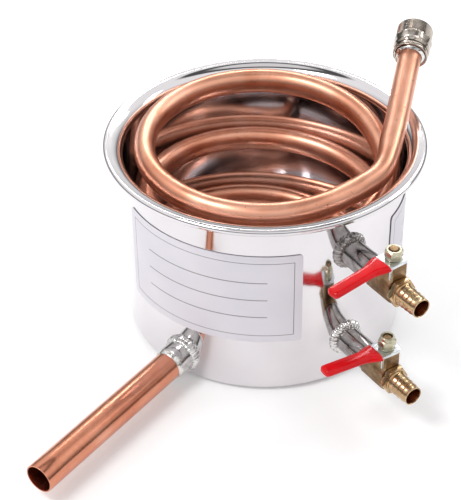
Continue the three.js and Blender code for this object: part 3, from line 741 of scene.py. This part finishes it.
def sticker(node):
    """A sheet bent to the wall, with rounded corners and its own flat size as texture coordinates."""
    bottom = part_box(node)[0].z / MM
    inner = POT_RADIUS + LABEL_GAP
    outer = inner + LABEL_THICKNESS
    columns = 96
    vertices, faces, uvs = [], [], []
    for i in range(columns + 1):
        across = LABEL_WIDTH * i / columns
        edge = max(min(across, LABEL_WIDTH - across), 0)
        cut = 0
        if edge < LABEL_CORNER:
            cut = LABEL_CORNER - math.sqrt(LABEL_CORNER ** 2 - (LABEL_CORNER - edge) ** 2)
        angle = LABEL_STARTS[node] + LABEL_SWEEP * i / columns
        for radius in (outer, inner):
            for level in (cut, LABEL_HEIGHT - cut):
                vertices.append(Vector((radius * math.cos(angle), radius * math.sin(angle), bottom + level)))

    def add(face):
        faces.append(face)
        for index in face:
            across = LABEL_WIDTH * (index // 4) / columns
            uvs.append((across * MM, (vertices[index].z - bottom) * MM))

    for i in range(columns):
        a, b = 4 * i, 4 * (i + 1)
        add([a, b, b + 1, a + 1])
        add([a + 2, a + 3, b + 3, b + 2])
        add([a, a + 2, b + 2, b])
        add([a + 1, b + 1, b + 3, a + 3])
    last = 4 * columns
    add([0, 1, 3, 2])
    add([last, last + 2, last + 3, last + 1])
    mesh = outward(mesh_from(vertices, faces, uvs))
    finish_mesh(f"{node}_sheet", mesh, PAPER, VESSEL, node, 40)


# ---- coil

def winding_at(angle):
    """The tube's middle at an angle in degrees, on a smooth curve through the stations of the winding."""
    last = len(WINDING) - 1
    i = 0
    while i < last - 1 and angle < WINDING[i + 1][0]:
        i += 1
    before, start, end, after = (WINDING[min(max(k, 0), last)] for k in (i - 1, i, i + 1, i + 2))
    span = end[0] - start[0]
    t = (angle - start[0]) / span

    def ease(key):
        slope_in = (end[key] - before[key]) / (end[0] - before[0]) * span
        slope_out = (after[key] - start[key]) / (after[0] - start[0]) * span
        return ((2 * t ** 3 - 3 * t ** 2 + 1) * start[key] + (t ** 3 - 2 * t ** 2 + t) * slope_in
                + (3 * t ** 2 - 2 * t ** 3) * end[key] + (t ** 3 - t ** 2) * slope_out)

    x, y, radius, z = (ease(key) for key in (1, 2, 3, 4))
    turn = math.radians(angle)
    return Vector((x + radius * math.cos(turn), y + radius * math.sin(turn), z))


def coil_points():
    """From the inlet fitting down the winding and out through the collar."""
    inlet, out = inlet_frame(), outlet_frame()
    points = [(inlet @ Vector((t * MM, 0, 0))) / MM for t in TUBE_INLET_RUN]
    points += [Vector(point) for point in WINDING_ENTRY]
    angle = WINDING[0][0]
    while angle >= WINDING[-1][0]:
        points.append(winding_at(angle))
        angle -= WINDING_STEP
    level = middle("outlet_tube").z / MM
    points += [Vector((x, y, level)) for x, y in WINDING_EXIT]
    points += [(out @ Vector((t * MM, 0, 0))) / MM for t in TUBE_OUTLET_RUN]
    return points


def smooth_path(points, spacing):
    """A centripetal Catmull-Rom curve through the points, at even steps."""
    def between(p, q, start, end, t):
        return p * ((end - t) / (end - start)) + q * ((t - start) / (end - start))

    steps = 24
    padded = [2 * points[0] - points[1], *points, 2 * points[-1] - points[-2]]
    dense = []
    for p0, p1, p2, p3 in zip(padded, padded[1:], padded[2:], padded[3:]):
        knots = [0.0]
        for a, b in ((p0, p1), (p1, p2), (p2, p3)):
            knots.append(knots[-1] + math.sqrt((b - a).length))
        t0, t1, t2, t3 = knots
        for k in range(steps):
            t = t1 + (t2 - t1) * k / steps
            a1, a2, a3 = between(p0, p1, t0, t1, t), between(p1, p2, t1, t2, t), between(p2, p3, t2, t3, t)
            b1, b2 = between(a1, a2, t0, t2, t), between(a2, a3, t1, t3, t)
            dense.append(between(b1, b2, t1, t2, t))
    dense.append(points[-1])
    lengths = [0.0]
    for a, b in zip(dense, dense[1:]):
        lengths.append(lengths[-1] + (b - a).length)
    count = round(lengths[-1] / spacing)
    path, k = [], 0
    for i in range(count + 1):
        target = lengths[-1] * i / count
        while k < len(dense) - 2 and lengths[k + 1] < target:
            k += 1
        part = (target - lengths[k]) / (lengths[k + 1] - lengths[k])
        path.append(dense[k].lerp(dense[k + 1], part))
    return path


def coil():
    """The tube's section stays upright, is ovalled where it bends, and carries faint hand-bending flats."""
    spacing, window, sides = 2.2, 6, 36
    dent_depth, dents_per_mm = 0.006, 0.09
    path = smooth_path(coil_points(), spacing)
    last = len(path) - 1
    tangents = [(path[min(i + 1, last)] - path[max(i - 1, 0)]).normalized() for i in range(len(path))]
    outer, inner = [], []
    for i, (point, tangent) in enumerate(zip(path, tangents)):
        before = tangents[max(i - window, 0)]
        after = tangents[min(i + window, last)]
        bend = min(before.angle(after) / (2 * window * spacing / FULL_OVAL_BEND), 1)
        level = UP.cross(tangent).normalized()
        upright = tangent.cross(level)
        across = 1 + (OVAL_ACROSS - 1) * bend
        tall = 1 + (OVAL_UPRIGHT - 1) * bend
        for radius, rings in ((TUBE_RADIUS, outer), (TUBE_BORE, inner)):
            ring = []
            for k in range(sides):
                angle = 2 * math.pi * k / sides
                offset = (level * (radius * across * math.cos(angle))
                          + upright * (radius * tall * math.sin(angle)))
                dent = 1 + dent_depth * noise.noise((point + offset) * dents_per_mm) * bend
                ring.append(point + offset * dent)
            rings.append(ring)
    mesh = loft(outer + inner[::-1], loop=True)
    finish_mesh("coil", mesh, COPPER, VESSEL, "coil_tube", 50)


# ---- inlet fitting

def inlet_fitting():
    place = inlet_frame()
    inlet_adapter(place)
    inlet_sleeve(place)
    start = SOLDER_START
    fillet = eased([
        (7.7, start), (8.6, start + 0.5), (9.7, start + 1.6), (7.7, start + 3.0), (7.7, start),
    ], 0.5, 4)
    solder_ring("inlet_solder_fillet", "inlet_solder", place, fillet, 96, 8)


def inlet_adapter(place):
    """A shoulder with worn wrench flats, and a male thread with a chamfered end."""
    clear = TUBE_RADIUS + 0.3
    root, crest, mouth = INLET_THREAD_ROOT, INLET_THREAD_CREST, ADAPTER_MOUTH_RADIUS
    shoulder, low, high, end = ADAPTER_SHOULDER_RADIUS, ADAPTER_START, ADAPTER_SHOULDER_END, ADAPTER_END
    runout, chamfer = 0.9, 1.6
    thread = []
    x = high + runout
    while x < end - chamfer:
        thread += [(root, x), (crest, x + INLET_THREAD_PITCH * 0.45), (crest, x + INLET_THREAD_PITCH * 0.6)]
        x += INLET_THREAD_PITCH
    waist = eased([
        (shoulder - 1.1, low), (shoulder - 0.1, low + 1.8), (shoulder - 0.5, low + 3.4),
        (shoulder, high - 1.8), (shoulder, high - 0.4), (root, high + 0.1),
    ], 0.5, closed=False)
    shell = [
        (clear, low), *waist, (root, high + 0.5), *thread,
        (root, end - 0.6), (root - 0.5, end - 0.15), (root - 0.7, end), (mouth + 0.2, end),
        (mouth, end - 0.2), (mouth, ADAPTER_TUBE_STOP), (clear, ADAPTER_TUBE_STOP), (clear, low),
    ]

    def flats(angle, radius, height):
        if not low + 1 < height < high - 1 or radius < shoulder - 1:
            return 0
        turn = 2 * math.pi / ADAPTER_FLAT_COUNT
        local = (angle + turn / 2) % turn - turn / 2
        return min(0, ADAPTER_FLATS_RADIUS / math.cos(local) - radius)

    finish_mesh("inlet_fitting", lathe(shell, 112, place, "X", flats), NICKEL, VESSEL,
                "inlet_adapter", 35)


def inlet_sleeve(place):
    """A short collar whose mouth is flared for the solder."""
    clear = TUBE_RADIUS + 0.3
    start, end = SLEEVE_START, ADAPTER_START - 0.3
    mouth, body = SLEEVE_MOUTH_RADIUS, SLEEVE_RADIUS
    sleeve = eased([
        (clear, start + 2.2), (mouth - 1.1, start + 0.1), (mouth - 0.3, start), (mouth, start + 1.2),
        (body, start + 2.3), (body, end), (clear, end), (clear, start + 2.2),
    ], 0.4)
    finish_mesh("inlet_flared_sleeve", lathe(sleeve, 96, place, "X"), NICKEL, VESSEL,
                "inlet_sleeve", 35)


def solder_ring(name, node, place, fillet, segments, free_from):
    """A solder fillet round a tube. Its free surface, beyond the radius free_from, is lumpy."""
    def wobble(angle, radius, height):
        return lumps(angle, radius, height, 0.5) if radius > free_from else 0

    finish_mesh(name, lathe(fillet, segments, place, "X", wobble), SOLDER, VESSEL, node, 60)


def lumps(angle, radius, height, size):
    """Slow irregular waves round a solder fillet."""
    where = Vector((math.cos(angle) * 2.2, math.sin(angle) * 2.2, height * 0.35))
    return size * noise.noise(where + Vector((radius, 0, 0)))


# ---- welds

def weld_ring(name, node, place, inner, shape, wall_distance, material):
    """A fillet weld with stacked ripples in the corner between a pipe and the pot's round wall.
    wall_distance is how far the pot's axis is from the frame's origin, along -X."""
    steps_per_ripple, arc_steps = 8, 8
    wander_size, bulge_size, hollow = 0.10, 0.10, 1.25
    width, height, relief = shape["width"], shape["height"], shape["relief"]
    steps = shape["ripples"] * steps_per_ripple
    rings = []
    for i in range(steps):
        angle = 2 * math.pi * i / steps
        ripple = math.sin(math.pi * (i % steps_per_ripple) / steps_per_ripple)
        wander = noise.noise(Vector((3 * math.cos(angle), 3 * math.sin(angle), inner)))
        swell = 1 - relief + relief * ripple + wander_size * wander
        out = Vector((0, math.cos(angle), math.sin(angle)))

        def spot(radius, lift):
            """A point at a radius from the pipe's axis, lifted off the pot's wall."""
            sideways = radius * math.cos(angle)
            wall = math.sqrt(POT_RADIUS ** 2 - sideways ** 2) - wall_distance
            return out * radius + Vector((wall + lift, 0, 0))

        ring = [spot(inner, WELD_ROOT)]
        for k in range(arc_steps + 1):
            turn = math.pi / 2 * k / arc_steps
            size = swell * (1 + bulge_size * math.sin(2 * turn))
            ring.append(spot(inner + width * size * math.sin(turn) ** hollow,
                             height * size * math.cos(turn) ** hollow))
        ring.append(spot(inner + width * 0.6, WELD_ROOT))
        rings.append(ring)
    finish_mesh(name, loft(rings, True, place), material, VESSEL, node, 70)


# ---- outlet

def outlet():
    place = outlet_frame()
    outlet_collar(place)
    weld_ring("outlet_weld_bead", "outlet_weld", place, COLLAR_RADIUS - WELD_OVERLAP,
              OUTLET_WELD, 0, BRIGHT_WELD)
    outlet_pipe(place)
    tube, collar = OUTLET_TUBE_RADIUS, COLLAR_RADIUS
    start = COLLAR_END + 0.1
    fillet = eased([
        (tube - 0.05, start - 0.3), (collar - 0.1, start - 0.3), (collar - 0.4, start + 1.0),
        (tube + 0.5, start + 2.3), (tube - 0.05, start + 3), (tube - 0.05, start - 0.3),
    ], 0.4, 4)
    solder_ring("outlet_solder_fillet", "outlet_solder", place, fillet, 112, tube + 0.4)
    end = OUTLET_START - 0.1
    braze = eased([
        (7.9, end - 3.4), (8.6, end - 3.0), (9.7, end - 0.8), (9.4, end), (7.9, end), (7.9, end - 3.4),
    ], 0.4, 3)
    finish_mesh("coil_braze_fillet", lathe(braze, 64, place, "X"), SOLDER, VESSEL,
                "coil_end_braze", 60)


def outlet_collar(place):
    clear = OUTLET_TUBE_RADIUS + 0.15
    collar = eased([
        (clear, COLLAR_START), (COLLAR_RADIUS, COLLAR_START), (COLLAR_RADIUS, COLLAR_END - 0.4),
        (COLLAR_RADIUS - 0.4, COLLAR_END), (clear, COLLAR_END), (clear, COLLAR_START),
    ], 0.3)
    finish_mesh("outlet_steel_collar", lathe(collar, 128, place, "X"), COLLAR_STEEL, VESSEL,
                "outlet_collar", 35)


def outlet_pipe(place):
    """A plain tube with a square-cut, deburred end."""
    radius, bore, start, end = OUTLET_TUBE_RADIUS, OUTLET_TUBE_BORE, OUTLET_START, OUTLET_END
    stations = [(end - start) * t / OUTLET_LOOPS for t in range(1, OUTLET_LOOPS)]
    tube = [
        (bore, start), (radius, start), *[(radius, start + t) for t in stations],
        (radius, end - 0.3), (radius - 0.1, end - 0.08), (radius - 0.3, end),
        (bore + 0.2, end), (bore + 0.05, end - 0.08), (bore, end - 0.3),
        *[(bore, end - t) for t in stations], (bore, start),
    ]
    pipe = mark_for_painted_bore_shade(lathe(tube, 96, place, "X"), place, bore + 0.1)
    finish_mesh("outlet_pipe", pipe, OUTLET_COPPER, VESSEL, "outlet_tube", 35)


# ---- ball valves

def square_outline(half, chamfer):
    inner = half - chamfer
    return [
        (half, -inner), (half, inner), (inner, half), (-inner, half),
        (-half, inner), (-half, -inner), (-inner, -half), (inner, -half),
    ]


def nipple(valve, place):
    """A pipe stub, bored out at its outer end for the valve's thread."""
    radius, bore, socket = NIPPLE_RADIUS, NIPPLE_BORE, NIPPLE_THREAD_BORE
    profile = eased([
        (bore, NIPPLE_START), (radius, NIPPLE_START), (radius, NIPPLE_END - 0.6),
        (radius - 0.5, NIPPLE_END), (socket, NIPPLE_END), (socket, NIPPLE_THREAD_START),
        (bore, NIPPLE_THREAD_START), (bore, NIPPLE_START),
    ], 0.25)
    finish_mesh(f"{valve}_pipe_nipple", lathe(profile, 96, place, "X"), PIPE_STEEL, VESSEL,
                f"{valve}_nipple", 35)


def valve_body(valve, place):
    """A square block with a boss for the stem and a thread towards the pot, bored for flow and stem."""
    past = 1
    block = prism(square_outline(BODY_HALF, BODY_CHAMFER), BODY_START, BODY_END, "X")
    boss = prism(square_outline(BOSS_HALF, BOSS_CHAMFER), 0, LEVER_BOTTOM - 0.3)
    thread = lathe([
        (0, BODY_THREAD_START), (BODY_THREAD_RADIUS, BODY_THREAD_START), (BODY_THREAD_RADIUS, 0), (0, 0),
    ], 64, along="X")
    flow = lathe([
        (0, BODY_THREAD_START - past), (FLOW_BORE, BODY_THREAD_START - past), (FLOW_BORE, BALL_CHAMBER_START),
        (BALL_CHAMBER, BALL_CHAMBER_START), (BALL_CHAMBER, PACKING_START), (0, PACKING_START),
    ], 64, along="X")
    stem_way = lathe([
        (0, 0), (STEM_BORE, 0), (STEM_BORE, PACKING_START), (PACKING_BORE, PACKING_START),
        (PACKING_BORE, LEVER_BOTTOM + past), (0, LEVER_BOTTOM + past),
    ], 48)
    solid = combine(combine(block, [boss, thread], "UNION"), [flow, stem_way], "DIFFERENCE")
    mesh = placed(bevelled(solid, 0.45), place)
    finish_mesh(f"{valve}_body_casting", mesh, BRASS_CAST, VESSEL, f"{valve}_valve_body", 35)


def barb_tail(valve, place):
    """A spigot that closes the body, a hexagon with turned corners, and a ridged tail for the hose."""
    ridges = []
    for i in range(BARB_COUNT):
        x = BARB_START + BARB_PITCH * i
        crest = BARB_CREST - BARB_TAPER * i
        ridges += [(crest - 0.1, x), (crest, x + 0.35), (crest - 0.3, x + 1.8), (crest - 0.6, x + 3.3)]
    spigot, bore, seat_bore, end = 5.8, BARB_BORE, 3.8, BARB_END
    hub, hub_start, hub_end = 7.4, 7.7, 11.1
    profile = [
        (seat_bore, BODY_END), (spigot, BODY_END), (spigot, hub_start), (hub, hub_start), (hub, hub_end),
        *ridges, (bore + 0.9, end - 0.3), (bore + 0.7, end), (bore + 0.2, end), (bore, end - 0.3),
        (bore - 0.6, FLANGE_END), (seat_bore, BODY_END),
    ]
    tail = lathe(profile, 96, along="X")
    corner = FLANGE_ACROSS_FLATS / 2 / math.cos(math.pi / 6)
    hexagon = prism(regular(corner, 6), FLANGE_START, FLANGE_END, "X")
    inside, face, rim = 5, 8.6, 9.6
    low, high = FLANGE_START - 0.2, FLANGE_END + 0.2
    turned = lathe(eased([
        (inside, low), (face, low), (rim, low + 1),
        (rim, high - 1), (face, high), (inside, high), (inside, low),
    ], 0.2), 96, along="X")
    flange = combine(hexagon, [turned], "INTERSECT")
    mesh = placed(combine(tail, [bevelled(flange, 0.25, 2)], "UNION"), place)
    mark_for_painted_bore_shade(mesh, place, bore + 0.1)
    finish_mesh(f"{valve}_hose_barb", mesh, BRASS_TURNED, VESSEL, f"{valve}_barb_tail", 35)


def stem(valve, place, body):
    """A round spindle, threaded at its top for the nut."""
    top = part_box(f"{valve}_stem")[1].z / MM - middle(f"{valve}_outer_seat").z / MM
    thread_length, chamfer = 5, 0.9
    root, crest = STEM_RADIUS - 0.3, STEM_RADIUS - 0.02
    thread = []
    x = top - thread_length
    while x < top - chamfer:
        thread += [(root, x), (crest, x + 0.3), (crest, x + 0.4)]
        x += STEM_THREAD_PITCH
    profile = [
        (0, STEM_FOOT), (STEM_RADIUS - 0.8, STEM_FOOT), (STEM_RADIUS, STEM_FOOT + 1.8),
        (STEM_RADIUS, top - thread_length - 0.3), *thread,
        (STEM_RADIUS - 0.25, top - 0.5), (STEM_RADIUS - 0.6, top), (0, top),
    ]
    finish_mesh(f"{valve}_spindle", lathe(profile, 48, place), BRASS_CAST, body, f"{valve}_stem", 35)


def tilted(mesh, tilt):
    """Tilts a handle about the lever's bend line."""
    pivot = Matrix.Translation(Vector((0, HANDLE_BEND, LEVER_MIDDLE)) * MM)
    return placed(mesh, pivot @ Matrix.Rotation(-tilt, 4, "X") @ pivot.inverted())


def lever(valve, place, body):
    """A flat plate on the boss with a stop tab at its corner, and a tapered strip that the grip covers."""
    half, front = PLATE_HALF, PLATE_FRONT
    corners = [(half, 4.6), (4.4, front), (-4.4, front), (-half, 4.6), (-half, -8.6), (half, -8.6)]
    flat = prism(eased(corners, 1.2, 4), LEVER_BOTTOM, LEVER_TOP)
    right = [(half, -8.2), (half, -9.5), (4.2, -16), (HANDLE_HALF, -20), (HANDLE_HALF, HANDLE_END)]
    left = [(-x, y) for x, y in right]
    outline = [right[0], *left, *reversed(right[1:])]
    handle = prism(outline, LEVER_BOTTOM + 0.01, LEVER_TOP - 0.01)
    tab_width, tab_front, tab_back = 1.2, -6.9, -8.3
    tab = prism([
        (half - tab_width, tab_back), (half, tab_back), (half, tab_front), (half - tab_width, tab_front),
    ], LEVER_BOTTOM - 6.9, LEVER_BOTTOM + 0.6)
    hole = lathe([(0, 10), (STEM_HOLE, 10), (STEM_HOLE, 25), (0, 25)], 48)
    plate = combine(flat, [tilted(handle, HANDLE_TILT[valve]), tab], "UNION")
    plate = combine(plate, [hole], "DIFFERENCE")
    mesh = placed(bevelled(plate, 0.22, 2), place)
    finish_mesh(f"{valve}_lever_plate", mesh, ZINC, body, f"{valve}_lever", 35)


def grip_width(y):
    """Half-width of the dipped grip at a distance y from the stem."""
    if y < GRIP_NECK:
        t = (y - GRIP_ROOT) / (GRIP_NECK - GRIP_ROOT)
        ease = t * t * (3 - 2 * t)
        return GRIP_ROOT_HALF + (GRIP_HALF - GRIP_ROOT_HALF) * ease
    round_start = GRIP_TIP - GRIP_ROUNDING
    if y > round_start:
        return GRIP_HALF - GRIP_ROUNDING + math.sqrt(max(GRIP_ROUNDING ** 2 - (y - round_start) ** 2, 0))
    return GRIP_HALF


def quarter_round(distance, reach):
    """Rises from 0 at an edge to 1 at the reach from it, as a quarter circle."""
    share = max(0.0, min(1.0, distance / reach))
    return math.sqrt(max(0, 1 - (1 - share) ** 2))


def grip_stations():
    """Distances from the stem: close together at the rounded ends, even between them."""
    root, tip = GRIP_ROOT, GRIP_TIP
    start, end_length = root + 1.2, 3.0
    stations = [root, root + 0.15, root + 0.5]
    stations += [start + (tip - start - end_length - 0.2) * k / 40 for k in range(41)]
    stations += [tip - end_length + end_length * math.sin(math.pi / 2 * k / 8) for k in range(8)]
    return stations + [tip - 0.02]


def grip(valve, place, body):
    """The vinyl shows the plate's edges as two soft creases."""
    points = 80
    rings = []
    for y in grip_stations():
        half = grip_width(y)
        height = GRIP_HALF_HEIGHT * (0.78 + 0.22 * quarter_round(y - GRIP_ROOT, 0.5))
        height *= 0.35 + 0.65 * quarter_round(GRIP_TIP - y, 2.2)
        plate_half = max(3.3, 6.3 - (y - GRIP_ROOT) * 0.42)
        ring = []
        for k in range(points):
            angle = 2 * math.pi * k / points
            c, s = math.cos(angle), math.sin(angle)
            x = math.copysign(abs(c) ** 0.75, c) * half
            past_plate = max(0.0, min(1.0, (abs(x) - plate_half) / 1.4))
            crown = 1.0 - 0.42 * past_plate
            ring.append(Vector((x, -y, LEVER_MIDDLE + math.copysign(abs(s) ** 0.6, s) * height * crown)))
        rings.append(ring)
    mesh = placed(tilted(loft(rings), HANDLE_TILT[valve]), place)
    finish_mesh(f"{valve}_dipped_grip", mesh, VINYL, body, f"{valve}_lever_grip", 50)


def washer(valve, place, body):
    low, high = LEVER_TOP + 0.15, NUT_BOTTOM - 0.2
    hole, rim = STEM_HOLE, WASHER_RADIUS
    profile = eased([(hole, low), (rim, low), (rim, high), (hole, high), (hole, low)], 0.3)
    finish_mesh(f"{valve}_flat_washer", lathe(profile, 72, place), YELLOW_ZINC, body,
                f"{valve}_washer", 35)


def nut(valve, place, body):
    """A hexagon nut with turned corners. The tall one of the lower valve has a round collar on top."""
    low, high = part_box(f"{valve}_lever_nut")
    bottom = NUT_BOTTOM
    top = bottom + (high.z - low.z) / MM
    tall = top - bottom > TALL_NUT
    hex_top = top - NUT_COLLAR_HEIGHT if tall else top
    corner = NUT_ACROSS_FLATS / 2 / math.cos(math.pi / 6)
    blank = prism(regular(corner, 6), bottom - 0.15, hex_top)
    turned = lathe(eased([
        (0, bottom - 0.2), (corner - 0.5, bottom - 0.2), (corner + 0.2, bottom + 0.3),
        (corner + 0.2, hex_top - 1.3), (corner - 1.15, hex_top + 0.02), (0, hex_top + 0.02),
    ], 0.15, 2, closed=False), 96)
    mesh = bevelled(combine(blank, [turned], "INTERSECT"), 0.12, 2)
    if tall:
        rim = NUT_COLLAR_RADIUS
        collar = lathe(eased([
            (0, hex_top - 0.5), (rim, hex_top - 0.5), (rim - 0.1, top - 0.6), (rim - 0.6, top), (0, top),
        ], 0.6, 4, closed=False), 96)
        mesh = combine(mesh, [collar], "UNION")
    bore, past = STEM_RADIUS + 0.05, top + 1
    hole = lathe([
        (0, 15), (bore, 15), (bore, top - 0.5), (bore + 0.5, top + 0.1), (bore + 0.5, past), (0, past),
    ], 48)
    mesh = combine(mesh, [hole], "DIFFERENCE")
    finish_mesh(f"{valve}_hex_nut", placed(mesh, place), YELLOW_ZINC, body,
                f"{valve}_lever_nut", 30)


def inner_parts(valve):
    """The hidden pieces keep their CAD shape and get their own materials."""
    materials = {"ball": PIPE_STEEL, "inner_seat": PTFE, "outer_seat": PTFE, "stem_packing": PTFE}
    for part, material in materials.items():
        for slot in frame["nodes"][f"{valve}_{part}"].material_slots:
            slot.link = "OBJECT"
            slot.material = material


def ball_valve(valve, weld):
    place, turned = valve_frame(valve), lever_frame(valve)
    moving = f"{valve}_lever_set"
    nipple(valve, place)
    stem_distance = place.translation.xy.length / MM
    weld_ring(f"{valve}_weld_bead", f"{valve}_nipple_weld", place, NIPPLE_RADIUS - WELD_OVERLAP,
              NIPPLE_WELD, stem_distance, weld)
    valve_body(valve, place)
    barb_tail(valve, place)
    for part in (stem, lever, grip, washer, nut):
        part(valve, turned, moving)
    inner_parts(valve)


pot()
for label_node in LABEL_STARTS:
    sticker(label_node)
coil()
inlet_fitting()
outlet()
ball_valve("upper", WELD)
ball_valve("lower", BRIGHT_WELD)


# ---- floor, light and camera

# The sky's brightness by the height of the direction, from the horizon at 0 to straight up at 1.
SKY = [
    (0.0, 0.06), (0.18, 0.16), (0.38, 0.80), (0.60, 1.05),
    (0.86, 1.05), (0.89, 0.10), (0.94, 0.10), (0.97, 0.85),
]
FLOOR_REACH = 6
CAMERA_PLACE = (-0.0226, -0.7775, 0.6281)
CAMERA_PITCH = math.radians(53.13)
CAMERA_ROLL = math.radians(-0.74)
LENS = 104.4
SENSOR = 36


def pale_floor():
    """A sheet that runs off out of sight and is lit a little from below."""
    mesh = bpy.data.meshes.new("floor")
    reach = FLOOR_REACH
    corners = [(-reach, -reach, 0), (reach, -reach, 0), (reach, reach, 0), (-reach, reach, 0)]
    mesh.from_pydata(corners, [], [(0, 1, 2, 3)])
    paint = Material("floor_paint", 0.0, 0.9)
    tone = paint.noise(paint.coordinates("Object"), 3, 2)
    paint.colour(paint.ramp(tone, [(0.0, (0.93, 0.93, 0.94)), (1.0, (0.95, 0.95, 0.95))]))
    paint.surface("Specular IOR Level", 0.0)
    paint.surface("Emission Color", (1, 1, 1))
    paint.surface("Emission Strength", 0.1)
    mesh.materials.append(paint.material)
    floor = linked("floor", mesh)


def sky():
    """Dim at the horizon and bright above, with one dark ring high up, like the gap between a ceiling
    light and the walls."""
    world = bpy.data.worlds.new("studio")
    bpy.context.scene.world = world
    tree = Tree(world)
    height = tree.add("SeparateXYZ", "Z", {"Vector": tree.add("TexCoord", "Generated", {})})
    light = tree.ramp(height, [(position, (level, level, level)) for position, level in SKY])
    tree.feed(tree.nodes["Background"].inputs["Color"], light)


def softbox(name, place, target, size, power):
    light = bpy.data.lights.new(name, "AREA")
    light.shape = "RECTANGLE"
    light.size, light.size_y = size
    light.energy = power
    lamp = linked(name, light)
    lamp.location = place
    lamp.rotation_euler = (Vector(target) - Vector(place)).to_track_quat("-Z", "Y").to_euler()


def camera():
    """The photographer stands in front, looking down at 37 degrees."""
    data = bpy.data.cameras.new("camera")
    data.sensor_fit = "AUTO"
    data.sensor_width = SENSOR
    data.lens = LENS
    eye = linked("camera", data)
    look = Matrix.Rotation(CAMERA_PITCH, 4, "X") @ Matrix.Rotation(CAMERA_ROLL, 4, "Z")
    eye.matrix_world = Matrix.Translation(CAMERA_PLACE) @ look
    bpy.context.scene.camera = eye


pale_floor()
sky()
softbox("key", (-0.55, -0.40, 1.0), (0, 0, 0.08), (0.42, 0.26), 4.6)
softbox("rim", (0.10, 0.80, 0.75), (0.02, 0, 0.08), (0.9, 0.07), 3.0)
softbox("side", (1.05, 0.30, 0.80), (-0.10, -0.12, 0.03), (0.22, 0.40), 2.0)
camera()
bpy.context.scene.view_settings.view_transform = "Standard"
